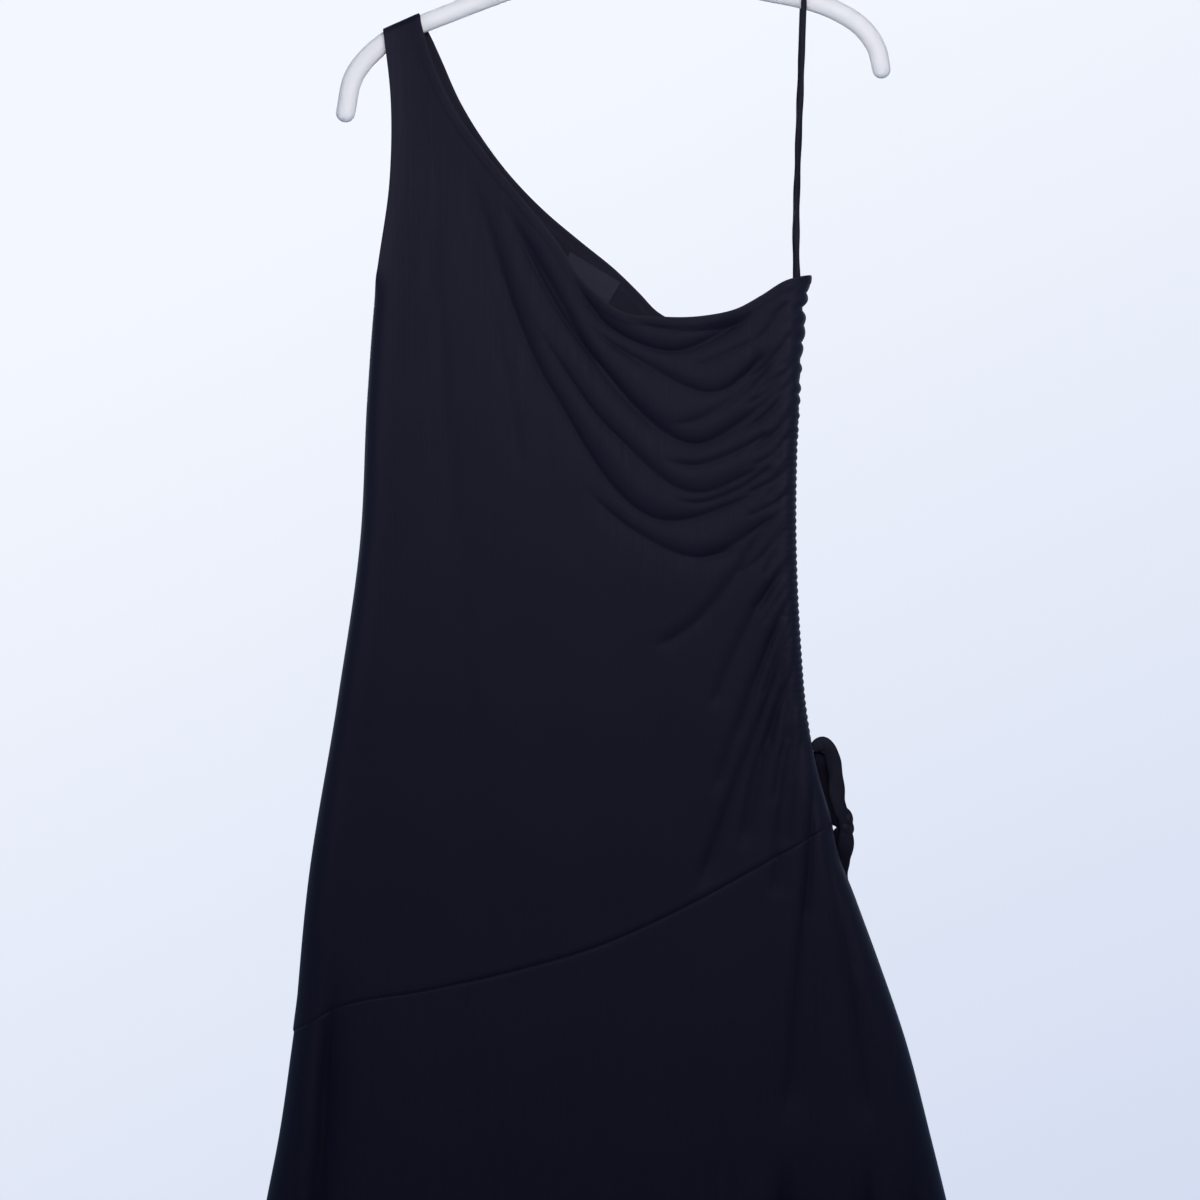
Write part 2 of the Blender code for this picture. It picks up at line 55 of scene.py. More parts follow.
# The cloth's sizes. Sewn seams overlap a little, so that no light comes through them.
WALL = 0.9
SEAM_GAP = -0.1
SHOULDER_ROUND = 6.6
SIDE_ROUND_SHARE = 0.6
UNDERARM_FROM = 318.0
UNDERARM_TO = 346.0
ROWS = 39
WIDE_GATHERS = 9
GATHERS_A_ROW = 2
RUCHED_ROWS = 33
LEFT_ROW_CROWDING = 1.6
WIDE_PUFF = 0.6
FINE_PUFF = 0.18
FINE_SCALLOP = 0.45
EDGE_BUMPS = [
    # drop, how far out of the plain edge
    (320, 0.6), (322.5, 1.6), (325, 3.6), (328, 3.8), (331, 2.9), (337.5, 0.7), (342.5, 2.7),
    (348.3, -1.1), (351.5, -0.8), (357.2, 2.6), (362.7, 1.4), (368.9, 3.0), (376.4, 0.3),
    (380.6, 2.2), (388.4, 0.1), (392.3, 0.0), (396.6, 1.9), (400, 0.4), (407.9, 0.1),
    (412.6, 1.3), (416.5, 0.0), (420.4, 1.0), (427.4, 0.0), (432.9, 0.9), (439, 0.0), (446, 0.5),
    (452, 0.0),
]
PUFF_REACH = 3.0
FREE_FROM_SEAM = 12.0
SCALLOP_REACH = 6.0
SIZE_CHANGE_ROWS = 3
FIRST_ROW_FADE = 0.5
FIRST_ROW_SHARE = 0.4
LAST_ROW_FADE = 1.5
EDGE_SLACK = 0.05
EDGE_SAMPLES = 1500
SHOULDER_SPAN = 0.085

# The seams and edges of the panels, each as (x, drop).
SHOULDER_SEAM = [(-179.6, 132.4), (-152.2, 120.2)]
LEFT_EDGE = [
    (-179.6, 132.4), (-173.6, 187), (-174.2, 250), (-184.4, 328), (-191.7, 421),
    (-197.1, 530), (-214.7, 655), (-237.6, 796), (-248.5, 912),
]
RIGHT_EDGE = [
    (150, 324), (146.2, 359), (143.3, 421), (141.3, 530), (144.8, 611), (149.4, 664), (155, 697),
    (169, 750),
]
FRONT_NECK = [
    (-152.2, 120.2), (-141.0, 159), (-126.5, 191), (-99, 230.5), (-71, 265.5), (-46, 296.5),
    (-21, 332.5), (7.5, 354), (36, 357.5), (67.5, 357), (95.5, 351), (114, 341), (132.5, 329.5),
    (150, 324),
]
BACK_NECK = [
    (-152.2, 120.2), (-144.0, 134.5), (-136.8, 150), (-120, 187.5), (-101, 218.5), (-82, 243.5),
    (-54, 272.5), (-26, 296), (2.5, 319), (21, 337), (34, 350.5), (50, 359), (70, 361.5),
    (100, 354.5), (132.5, 331.5), (150, 324),
]
HIP_SEAM = [
    (-248.5, 912), (-217, 893), (-143, 877.5), (-65, 859.5), (-11, 843), (59, 811), (114, 781),
    (169, 750),
]
SKIRT_LEFT = [(-248.5, 912), (-261, 998), (-270, 1044), (-318, 1300)]
SKIRT_RIGHT = [
    (169, 750), (172.4, 768), (188, 811), (205.3, 858), (226.5, 920), (246.8, 998), (258.2, 1044),
    (312, 1300),
]
HEM = [(-318, 1300), (-160, 1309), (0, 1311), (160, 1308), (312, 1300)]
DEPTHS = [
    # drop, front, back, side round
    (120, 6.8, 6.8, 18),
    (240, 8.5, 8.5, 18),
    (330, 12.5, 11.5, 18),
    (430, 16.0, 13.5, 18),
    (560, 18.5, 15.0, 19),
    (700, 20.0, 17.0, 22),
    (820, 23.0, 20.0, 30),
    (1000, 30.0, 26.0, 52),
    (1311, 40.0, 36.0, 90),
]

# The main creases of the front and the back, each through four points, as (x, drop).
FRONT_FOLDS = [
    # start, first bend, second bend, end, depth, width, how much wider it ends
    ((-38, 318), (-1, 367), (41, 384), (111, 355), 2.8, 7.0, 1.0),
    ((-28, 360), (20, 392), (78, 416), (125, 380), 2.1, 7.0, 1.0),
    ((39, 442), (64, 438), (90, 423), (122, 394), 1.6, 6.0, 1.0),
    ((-92, 260), (-19, 385), (65, 456), (128, 417), 2.8, 8.0, 1.0),
    ((-65, 359), (0, 448), (62, 494), (122, 470), 2.1, 7.0, 1.0),
    ((-114, 237), (-48, 415), (36, 515), (130, 488), 2.6, 8.0, 1.0),
    ((-27, 487), (16, 524), (62, 544), (131, 508), 1.9, 7.0, 1.0),
    ((120, 512), (88, 565), (64, 593), (30, 616), 1.6, 5.5, 1.2),
    ((132, 546), (107, 590), (89, 627), (74, 664), 1.4, 5.0, 1.2),
    ((137, 566), (113, 628), (97, 672), (76, 730), 1.6, 5.0, 1.3),
    ((139, 594), (122, 645), (95, 718), (63, 806), 1.9, 5.5, 1.3),
    ((140, 622), (126, 665), (111, 709), (99, 775), 2.0, 5.5, 1.3),
    ((146, 660), (135, 698), (129, 737), (123, 812), 1.9, 5.0, 1.3),
    ((154, 690), (151, 775), (143, 860), (132, 985), 2.8, 5.0, 2.2),
    ((131, 1000), (126, 1090), (120, 1190), (112, 1309), 11.0, 11.0, 1.8),
    ((159, 745), (171, 808), (183, 885), (196, 985), 2.2, 4.5, 2.0),
    ((193, 1000), (198, 1100), (203, 1200), (206, 1306), 8.0, 9.0, 1.6),
    ((228, 1010), (239, 1100), (251, 1200), (262, 1303), 7.0, 9.0, 1.5),
    ((-214, 850), (-221, 920), (-226, 1010), (-262, 1304), 9.0, 8.0, 2.2),
    ((-130, 1062), (-137, 1130), (-147, 1220), (-158, 1308), 12.0, 17.0, 1.6),
    ((0, 1050), (-4, 1130), (-12, 1220), (-22, 1310), 12.0, 17.0, 1.6),
]
BACK_FOLDS = [
    ((-60, 318), (0, 392), (60, 408), (126, 372), 4.0, 12.0, 1.0),
    ((-96, 290), (-20, 432), (62, 488), (126, 446), 5.0, 12.0, 1.0),
    ((-60, 410), (0, 505), (60, 548), (128, 522), 4.5, 12.0, 1.0),
    ((128, 570), (100, 622), (70, 680), (30, 730), 4.0, 12.0, 1.2),
    ((138, 618), (112, 700), (88, 770), (60, 850), 5.0, 12.0, 1.4),
    ((150, 770), (150, 860), (160, 1010), (176, 1307), 12.0, 14.0, 2.0),
    ((-205, 690), (-216, 830), (-232, 980), (-256, 1304), 9.0, 13.0, 1.9),
    ((-90, 910), (-98, 1020), (-110, 1150), (-124, 1309), 12.0, 19.0, 1.5),
    ((44, 880), (42, 1010), (40, 1150), (36, 1310), 12.0, 19.0, 1.5),
]
# Smaller creases that lie between the main ones.
FRONT_CREASES = [
    ((-87, 265), (-44, 340), (-3, 409), (41, 452), 0.9, 4.5, 1.0),
    ((9, 359), (42, 368), (72, 368), (100, 362), 1.0, 4.0, 1.0),
    ((56, 396), (73, 393), (90, 385), (108, 376), 0.9, 4.0, 1.0),
    ((41, 498), (61, 502), (91, 494), (125, 472), 1.3, 4.0, 1.0),
    ((36, 468), (61, 473), (91, 464), (122, 446), 1.5, 4.5, 1.0),
    ((115, 384), (108, 395), (95, 409), (84, 418), 0.8, 3.5, 1.0),
    ((137, 343), (129, 353), (119, 367), (108, 378), 0.8, 3.2, 1.0),
    ((139, 367), (129, 382), (117, 396), (100, 407), 0.9, 3.4, 1.0),
    ((141, 384), (134, 399), (120, 415), (100, 427), 0.8, 3.2, 1.0),
    ((140, 399), (129, 420), (117, 435), (97, 448), 1.0, 3.4, 1.0),
    ((142, 424), (134, 437), (120, 452), (103, 463), 0.8, 3.2, 1.0),
    ((141, 441), (134, 452), (122, 465), (106, 474), 0.8, 3.2, 1.0),
    ((141, 460), (133, 476), (117, 488), (101, 495), 1.0, 3.4, 1.0),
    ((142, 482), (134, 495), (119, 505), (101, 513), 0.8, 3.2, 1.0),
    ((95, 537), (86, 541), (76, 543), (67, 544), 1.1, 5.0, 1.0),
    ((139, 515), (126, 530), (111, 546), (95, 558), 0.8, 3.4, 1.0),
    ((141, 534), (133, 551), (119, 569), (105, 587), 1.0, 3.6, 1.0),
    ((139, 568), (123, 604), (108, 647), (95, 688), 1.0, 4.0, 1.2),
    ((136, 602), (117, 658), (95, 718), (67, 799), 0.8, 4.0, 1.2),
    ((142, 577), (134, 599), (123, 627), (114, 655), 0.9, 3.6, 1.1),
    ((144, 608), (136, 636), (126, 665), (119, 696), 0.9, 3.6, 1.1),
    ((145, 630), (137, 668), (128, 702), (122, 738), 1.1, 3.8, 1.2),
    ((137, 624), (122, 668), (108, 714), (100, 764), 1.0, 4.0, 1.2),
    ((150, 668), (144, 694), (137, 733), (133, 772), 1.3, 4.0, 1.2),
    ((-139, 199), (-133, 395), (-121, 527), (-103, 725), 0.6, 6.0, 1.3),
    ((-121, 217), (-106, 289), (-89, 374), (-67, 491), 0.6, 6.0, 1.0),
    ((161, 702), (167, 749), (178, 811), (190, 874), 1.4, 4.5, 1.3),
    ((154, 702), (154, 733), (151, 780), (147, 827), 1.1, 4.0, 1.3),
]
BACK_CREASES = [
    ((60, 380), (84, 386), (108, 378), (132, 358), 1.4, 4.5, 1.0),
    ((30, 452), (66, 462), (100, 448), (134, 418), 1.6, 4.5, 1.0),
    ((52, 520), (82, 522), (108, 506), (134, 480), 1.6, 4.5, 1.0),
    ((138, 540), (124, 566), (104, 590), (80, 610), 1.5, 4.5, 1.0),
    ((142, 590), (128, 630), (112, 664), (94, 706), 1.5, 4.5, 1.1),
    ((146, 640), (134, 688), (122, 730), (112, 776), 1.7, 4.5, 1.2),
    ((-130, 210), (-118, 330), (-98, 450), (-76, 600), 0.9, 7.0, 1.2),
    ((160, 712), (166, 770), (178, 840), (196, 930), 2.0, 5.0, 1.3),
    ((140, 700), (132, 740), (126, 790), (120, 836), 1.6, 4.5, 1.2),
]
CREASE_SOFTNESS = 0.9
CREASE_NARROWING = 0.82
LINE_WIDTH = 1.9
LINE_DEPTH_SHARE = 0.14
FOLD_START_TAPER = 0.22
FOLD_END_TAPER = 0.12
FOLD_SAMPLES = 60
FOLD_CUTOFF = 5.5
OPEN_FOLD_DROP = 1290.0
UPPER_SIDE = 0.72
LOWER_SIDE = 1.28
LIP_SHARE = 0.16
LIP_AT = 1.7
LIP_WIDTH = 0.9
LINE_ENDS_AT = 2.2
FULL_LINE_DEPTH = 4.0
MOST_FOLDED = 0.78

# The short pleats that start at every gather of the ruched seam, by drop.
PLEATS = [
    # drop, slope from level in degrees, length, depth, width
    (330, 32, 34, 0.40, 2.6),
    (430, 38, 36, 0.42, 2.4),
    (520, 46, 38, 0.45, 2.3),
    (600, 60, 44, 0.48, 2.2),
    (680, 74, 52, 0.55, 2.2),
    (750, 84, 56, 0.55, 2.4),
]
PLEAT_START_SHIFT = 0.8
PLEAT_SLOPE_SHIFT = 9.0
PLEAT_LENGTHS = (0.45, 1.35)
PLEAT_DEPTHS = (0.55, 1.25)
PLEAT_WIDTHS = (0.85, 1.2)
PLEAT_INSET = 1.5
PLEAT_BEND = (0.82, 0.3)
PLEAT_WIDENING = 1.3

# The slow unevenness of the cloth, which grows below the shoulder.
BROAD_SLACK = 0.7
NARROW_SLACK = 0.35
SLACK_TURN = 1.9
SLACK_FROM = 140.0
SLACK_TO = 260.0

# How many columns and rows each panel's mesh has, as fractions of the way across.
COLUMNS = [
    # from, to, columns
    (0.0, 0.012, 4),
    (0.012, 0.085, 8),
    (0.085, 0.115, 4),
    (0.115, 0.35, 15),
    (0.35, 0.90, 60),
    (0.90, 0.985, 22),
    (0.985, 1.0, 6),
]
SKIRT_COLUMNS = [
    (0.0, 0.02, 5),
    (0.02, 0.60, 90),
    (0.60, 0.98, 90),
    (0.98, 1.0, 5),
]
UPPER_ROWS = 9 * ROWS
SKIRT_ROWS = 210

# The narrow turned edges and the hem, how far the light wear of the neckline, armhole and hem edges
# reaches, and how far the painted light along the side edges reaches.
SIDE_EDGE_LIGHT_REACH = 11.0
EDGE_WEAR_REACH = 1.6
HEM_WEAR_REACH = 1.8
TURNED_WIDTH = 7.0
TURNED_HEIGHT = 0.32
TURNED_SOFTNESS = 3.2
HEM_TURN = 19.0
HEM_HEIGHT = 0.6
HEM_SOFTNESS = 3.0

# The pressed seam across the hip: faint at both ends, with a small step at the left edge.
SEAM_REACH = 20.0
SEAM_DIP = 0.7
SEAM_DIP_WIDTH = 1.4
SEAM_FADE_FROM = 0.80
SEAM_FADE_LENGTH = 0.15
SEAM_FAINT_END = 0.25
SEAM_SHOWS_FROM = 0.18
SEAM_SHOWS_LENGTH = 0.2
SEAM_FAINT_START = 0.2
SEAM_RIDGE = 0.2
SEAM_RIDGE_AT = 4.0
SEAM_RIDGE_WIDTH = 2.6
SEAM_STEP = 1.0
SEAM_STEP_HEIGHT = 30.0
SEAM_STEP_REACH = 3.0

# The crease that hangs straight down from the ties.
SIDE_CREASE_X = 153.7
SIDE_CREASE_DROP = (825.0, 870.0)
SIDE_CREASE_DEPTH = 1.3
SIDE_CREASE_WIDTH = 1.8

# The strap's loop over the hanger, as (x, drop, y), and its sizes.
STRAP_SIDE = [
    (142.6, 328.0, -8.0), (142.4, 323.5, -7.9), (142.0, 290, -7.8), (143.6, 230, -7.4),
    (146.0, 160, -7.0), (147.6, 112, -7.1), (147.9, 104.2, -6.8), (148.0, 100.9, -4.2),
]
STRAP_TOP = (148.1, 99.5, 0.0)
STRAP_WIDTH = 4.5
STRAP_THICKNESS = 1.4
STRAP_TWIST = 0.55
STRAP_PINCH = 0.10

# The drawstring's two ends, from the channel to the knot and on to their tails.
CORD_WIDTH = 11.6
CORD_THICKNESS = 3.4
CORD_START_SHARE = 0.6
CORD_START_LENGTH = 10.0
KNOT_AT = (179.6, 749.0, 0.6)
KNOT_TILT = np.radians(-24)
KNOT_SIZE = (1.35, 2.6, 2.9)
KNOT_HALVES = (2.3, 3.9)
KNOT_PULL = 0.25
KNOT_PULL_REACH = 8.0
CORDS = {
    "drawstring_outer": [
        (154.6, 693.5, -3.2), (158.6, 690.0, -3.6), (163.4, 689.4, -3.8), (167.2, 692.4, -3.9),
        (170.2, 699.4, -3.9), (172.0, 708, -3.9), (173.0, 717, -3.9), (173.6, 726, -3.8),
        (174.6, 734, -3.6), (176.8, 741, -3.2), (180.0, 751, -1.6), (181.0, 762, -0.8),
        (181.0, 771, 1.6), (179.2, 780, 8), (178.8, 789, 14.6), (179.0, 799, 18.4),
        (179.6, 808, 21),
    ],
    "drawstring_inner": [
        (156.4, 695.0, 3.2), (161.2, 702, 5.4), (164.8, 710, 8.2), (166.2, 717, 10.8),
        (166.2, 725, 13.4), (165.6, 733, 14.6), (168.0, 741.4, 13.4), (172.4, 748.0, 10.3),
        (176.4, 751, 6), (178.6, 754.4, 4.6), (177.2, 758.6, 5.8), (172.0, 766, 12.4),
        (170.2, 778, 18.8), (168.6, 789, 21.4), (167.6, 800, 23),
    ],
}

# The blank label inside the back of the neck.
LABEL_CORNER = (-34.4, 304.0)
LABEL_LENGTH = 47.0
LABEL_HEIGHT = 22.0
LABEL_SLOPE = np.radians(31)
LABEL_WALL = 0.8
LABEL_GAP = 0.3

# The hem's two rows of stitches.
STITCH_ROWS = (15.5, 18.5)
STITCH_STEP = 3.4
STITCH_LENGTH = 2.6
STITCH_LIFT = 0.25
STITCH_HALF_WIDTH = 0.32
STITCHED_FROM = -312
STITCHED_TO = 306

# The hanger's line from its left tip to its right tip, and how tall the moulding is there.
HANGER_DEPTH = 10.0
HANGER_LINE = [
    # x, drop, height
    (-209.4, 197.2, 15.0), (-202.6, 168.2, 15.4), (-187, 148.8, 15.4), (-167, 134.8, 14.8),
    (-151, 128.2, 14.4), (-136, 122.4, 14.4), (-89, 104.4, 14.6), (-35, 85.5, 16.4), (0, 76, 20),
    (36, 82.6, 16.4), (80, 93.4, 15), (122, 103.3, 15), (145, 107.8, 15), (172.2, 116.9, 15.2),
    (195.6, 132.8, 15.2), (204.8, 147, 15), (208.6, 163, 14.4),
]
HOOK_BORE = 20.0
HOOK_WIRE = 3.5
HOOK_STEM = (66.8, 48.0)
HOOK_FROM = -78
HOOK_TO = 205
TIP_DEGREES = (18, 35, 50, 62, 73, 82, 88)


def set_camera():
    lens = bpy.data.cameras.new("camera")
    lens.sensor_width = SENSOR
    lens.lens = SENSOR * VIEW_DISTANCE / VIEW_WIDTH
    camera = bpy.data.objects.new("camera", lens)
    camera.location = (VIEW_CENTRE[0], -VIEW_DISTANCE, VIEW_CENTRE[1])
    camera.rotation_euler = (np.pi / 2, 0.0, 0.0)
    bpy.context.scene.collection.objects.link(camera)
    bpy.context.scene.camera = camera


# Curves and small sums

def smooth_path(points, fractions):
    """Points at these fractions of the smooth curve that passes through a table's points."""
    points = np.asarray(points, float)
    steps = np.linalg.norm(np.diff(points, axis=0), axis=1)
    knots = np.concatenate([[0.0], np.cumsum(steps)])
    knots /= knots[-1]
    slopes = np.gradient(points, knots, axis=0)
    fractions = np.asarray(fractions, float)
    first = np.clip(np.searchsorted(knots, fractions, side="right") - 1, 0, len(knots) - 2)
    span = (knots[first + 1] - knots[first])[:, None]
    u = (fractions - knots[first])[:, None] / span
    rise = u * u * (3 - 2 * u)
    return (
        (1 - rise) * points[first]
        + rise * points[first + 1]
        + span * u * (1 - u) ** 2 * slopes[first]
        - span * u * u * (1 - u) * slopes[first + 1]
    )


def smooth_step(value):
    value = np.clip(value, 0.0, 1.0)
    return value * value * (3 - 2 * value)


def quarter_round(distance, radius):
    """0 at an edge, 1 from radius on, and the quarter of a circle between."""
    left = 1 - np.clip(distance / radius, 0.0, 1.0)
    return np.sqrt(1 - left * left)


def edge_at(tables, drop):
    """x of an edge at each drop, where the tables follow each other down the garment."""
    steps = np.linspace(0, 1, EDGE_SAMPLES)
    line = np.concatenate([smooth_path(table, steps) for table in tables])
    return np.interp(drop, line[:, 1], line[:, 0])


def near_line(points, x, drop, reach):
    """For the points within reach of a curve's box: which they are, how far off, on which side
    (positive below or to the right), and how far along the curve."""
    along = np.linspace(0, 1, FOLD_SAMPLES)
    line = smooth_path(points, along)
    low, high = line.min(axis=0) - reach, line.max(axis=0) + reach
    inside = np.nonzero((x > low[0]) & (x < high[0]) & (drop > low[1]) & (drop < high[1]))[0]
    off_x = x[inside, None] - line[:, 0]
    off_drop = drop[inside, None] - line[:, 1]
    away = np.hypot(off_x, off_drop)
    nearest = away.argmin(axis=1)
    pick = np.arange(len(inside)), nearest
    run = np.gradient(line, axis=0)
    run /= np.linalg.norm(run, axis=1)[:, None]
    side = run[nearest, 0] * off_drop[pick] - run[nearest, 1] * off_x[pick]
    ahead = run[nearest, 0] * off_x[pick] + run[nearest, 1] * off_drop[pick]
    at_end = (nearest == 0) | (nearest == FOLD_SAMPLES - 1)
    distance = np.where(at_end, away[pick], np.abs(side))
    if line[-1, 0] < line[0, 0]:
        side = -side
    share = along[nearest] + np.where(at_end, 0.0, ahead) / max(1e-6, arc_length(line))
    return inside, distance, np.sign(side), np.clip(share, 0, 1)


def arc_length(line):
    return np.linalg.norm(np.diff(line, axis=0), axis=1).sum()


# The cloth's form

def fold_relief(folds, x, drop):
    """How far the creases carry the cloth inwards: steep above each crease and slack below. Also
    how strongly each point lies on the narrow line where a crease is sharpest."""
    total = np.zeros(len(x))
    line = np.zeros(len(x))
    for *points, depth, width, wider in folds:
        reach = FOLD_CUTOFF * width * max(1.0, wider) * LOWER_SIDE
        inside, away, side, share = near_line(points, x, drop, reach)
        soft = width * CREASE_NARROWING * (1 + (wider - 1) * share)
        soft = soft * np.where(side > 0, LOWER_SIDE, UPPER_SIDE)
        taper = smooth_step(share / FOLD_START_TAPER)
        if points[-1][1] < OPEN_FOLD_DROP:
            taper = taper * smooth_step((1 - share) / FOLD_END_TAPER)
        rounded = np.sqrt(away * away + CREASE_SOFTNESS**2) - CREASE_SOFTNESS
        trough = np.exp(-rounded / soft)
        lip = np.exp(-((away / width - LIP_AT) / LIP_WIDTH) ** 2) * (side < 0)
        sharp = np.exp(-((away / LINE_WIDTH) ** 2)) * taper
        sharp = sharp * smooth_step(LINE_ENDS_AT - share * wider)
        total[inside] += depth * (taper * (trough - LIP_SHARE * lip) + LINE_DEPTH_SHARE * sharp)
        # The line values mark where the jersey finish paints shade along the sharpest part of each
        # crease.
        line[inside] = np.maximum(line[inside], sharp * min(1.0, depth / FULL_LINE_DEPTH))
    return total, line


def pleats(front):
    """The short pleats of the ruched seam, one to a gather, uneven as gathers are."""
    random = np.random.default_rng(SEED if front else SEED + 1)
    drops, slopes, lengths, depths, widths = (np.array(column, float) for column in zip(*PLEATS))
    top, bottom = RIGHT_EDGE[0][1], RIGHT_EDGE[-1][1]
    row_height = (bottom - top) / ROWS
    starts = [top + (row + 0.5) * row_height for row in range(WIDE_GATHERS)]
    fine = (RUCHED_ROWS - WIDE_GATHERS) * GATHERS_A_ROW
    first_fine = top + WIDE_GATHERS * row_height
    starts += [first_fine + (n + 0.5) * row_height / GATHERS_A_ROW for n in range(fine)]
    made = []
    for start in starts:
        start += random.uniform(-PLEAT_START_SHIFT, PLEAT_START_SHIFT)
        shift = random.uniform(-PLEAT_SLOPE_SHIFT, PLEAT_SLOPE_SHIFT)
        slope = np.radians(np.interp(start, drops, slopes) + shift)
        length = np.interp(start, drops, lengths) * random.uniform(*PLEAT_LENGTHS)
        depth = np.interp(start, drops, depths) * random.uniform(*PLEAT_DEPTHS)
        width = np.interp(start, drops, widths) * random.uniform(*PLEAT_WIDTHS)
        x = float(edge_at([RIGHT_EDGE], start)) - PLEAT_INSET
        points = []
        for share in (0.0, 0.33, 0.67, 1.0):
            bend = slope * (PLEAT_BEND[0] + PLEAT_BEND[1] * share)
            reach = length * share
            points.append((x - reach * np.cos(bend), start + reach * np.sin(bend)))
        made.append((*points, depth, width, PLEAT_WIDENING))
    return made


def gather_phase(drop):
    """Which gather of the ruched seam a point lies in, counted from the top."""
    top, bottom = RIGHT_EDGE[0][1], RIGHT_EDGE[-1][1]
    row = (drop - top) / (bottom - top) * ROWS
    fine = np.clip(row - WIDE_GATHERS, 0, None) * GATHERS_A_ROW
    return np.minimum(row, WIDE_GATHERS) + fine, row


def gather_size(row, wide, fine):
    """The size of the gathers down the seam: wide at the top, fine below, none past its end."""
    from_wide = row - (WIDE_GATHERS - SIZE_CHANGE_ROWS)
    size = wide + (fine - wide) * smooth_step(from_wide / SIZE_CHANGE_ROWS)
    start = smooth_step(row / FIRST_ROW_FADE + FIRST_ROW_SHARE)
    end = smooth_step((RUCHED_ROWS + 0.5 - row) / LAST_ROW_FADE)
    return size * start * end


def edge_bumps(drop):
    """The uneven gathers at the top of the ruched edge, each round with a sharp dent after it."""
    drops, outs = np.array(EDGE_BUMPS, float).T
    first = np.clip(np.searchsorted(drops, drop, side="right") - 1, 0, len(drops) - 2)
    share = np.clip((drop - drops[first]) / (drops[first + 1] - drops[first]), 0, 1)
    rise = outs[first + 1] - outs[first]
    quarter = np.pi / 2
    eased = np.where(rise > 0, np.sin(quarter * share), 1 - np.cos(quarter * share))
    return outs[first] + rise * eased


def closeness(x, drop):
    """How far the panel stands off its seams, from 0 on them to 1, and the way from the sides."""
    drops, _, _, rounds = zip(*DEPTHS)
    side_round = np.interp(drop, drops, rounds) * SIDE_ROUND_SHARE
    from_left = x - edge_at([LEFT_EDGE, SKIRT_LEFT], drop)
    from_right = edge_at([RIGHT_EDGE, SKIRT_RIGHT], drop) - x
    from_left = np.clip(from_left - EDGE_SLACK, 0.0, None)
    from_right = np.clip(from_right - EDGE_SLACK, 0.0, None)
    sewn = smooth_step((drop - UNDERARM_FROM) / (UNDERARM_TO - UNDERARM_FROM))
    left_close = 1 - sewn * (1 - quarter_round(from_left, side_round))
    right_close = quarter_round(from_right, side_round)
    (x0, drop0), (x1, drop1) = SHOULDER_SEAM
    below_seam = drop - (drop0 + (x - x0) * (drop1 - drop0) / (x1 - x0))
    over_arm = quarter_round(np.clip(below_seam, 0.0, None), SHOULDER_ROUND)
    return left_close * right_close * over_arm, from_left, from_right


def seam_step(drop):
    """How far the upper's left edge stands out over the skirt's at the hip seam."""
    seam_drop = HIP_SEAM[0][1]
    grown = smooth_step((drop - seam_drop + SEAM_STEP_HEIGHT) / SEAM_STEP_HEIGHT)
    return SEAM_STEP * grown * (drop < seam_drop + 0.01)


def turned_edge(distance):
    from_step = distance - TURNED_WIDTH + TURNED_SOFTNESS / 2
    return TURNED_HEIGHT * (1 - smooth_step(from_step / TURNED_SOFTNESS))


def edge_relief(x, drop, front, from_left):
    """The turned edges, the hip seam and the pressed side crease, as height outwards; and how
    near to a worn edge each point lies."""
    neck = FRONT_NECK if front else BACK_NECK
    height = np.zeros(len(x))
    wear_and_edge_light = np.zeros(len(x))
    inside, away, _, _ = near_line(neck, x, drop, 3 * TURNED_WIDTH)
    height[inside] += turned_edge(away)
    wear_and_edge_light[inside] = np.exp(-away / EDGE_WEAR_REACH)
    open_side = (drop < UNDERARM_TO) & (drop > SHOULDER_SEAM[0][1])
    fade = 1 - smooth_step((drop - UNDERARM_FROM) / (UNDERARM_TO - UNDERARM_FROM))
    height += np.where(open_side, turned_edge(from_left) * fade, 0.0)
    rubbed = fade * np.exp(-from_left / EDGE_WEAR_REACH)
    wear_and_edge_light = np.maximum(wear_and_edge_light, np.where(open_side, rubbed, 0.0))
    hem = smooth_path(HEM, np.linspace(0, 1, EDGE_SAMPLES))
    above_hem = np.interp(x, hem[:, 0], hem[:, 1]) - drop
    height += HEM_HEIGHT * (1 - smooth_step((above_hem - HEM_TURN) / HEM_SOFTNESS))
    wear_and_edge_light = np.maximum(wear_and_edge_light, np.exp(-np.clip(above_hem, 0, None) / HEM_WEAR_REACH))
    inside, away, side, share = near_line(HIP_SEAM, x, drop, SEAM_REACH)
    dip = SEAM_DIP * np.exp(-((away / SEAM_DIP_WIDTH) ** 2))
    ridge = SEAM_RIDGE * np.exp(-(((away - SEAM_RIDGE_AT) / SEAM_RIDGE_WIDTH) ** 2))
    fading = smooth_step((share - SEAM_FADE_FROM) / SEAM_FADE_LENGTH)
    strong = 1 - (1 - SEAM_FAINT_END) * fading
    showing = smooth_step((share - SEAM_SHOWS_FROM) / SEAM_SHOWS_LENGTH)
    strong *= SEAM_FAINT_START + (1 - SEAM_FAINT_START) * showing
    height[inside] += (ridge * (side < 0) - dip) * strong
    if front:
        shown = smooth_step((drop - SIDE_CREASE_DROP[0]) / np.ptp(SIDE_CREASE_DROP))
        off = np.abs(x - SIDE_CREASE_X) / SIDE_CREASE_WIDTH
        height -= SIDE_CREASE_DEPTH * shown * np.exp(-off)
    return height, wear_and_edge_light


def slack(x, drop, front):
    """The slow unevenness of cloth that hangs free."""
    turn = 0.0 if front else SLACK_TURN
    broad = np.sin(x / 31 + drop / 140 + turn) * np.sin(drop / 173 + 0.6 + turn)
    narrow = np.sin(x / 13.5 - drop / 95 + 2 * turn) * np.sin(drop / 61 + turn)
    grown = smooth_step((drop - SLACK_FROM) / (SLACK_TO - SLACK_FROM))
    return (BROAD_SLACK * broad + NARROW_SLACK * narrow) * grown


CREASES = {
    True: [*FRONT_FOLDS, *FRONT_CREASES, *pleats(True)],
    False: [*BACK_FOLDS, *BACK_CREASES, *pleats(False)],
}


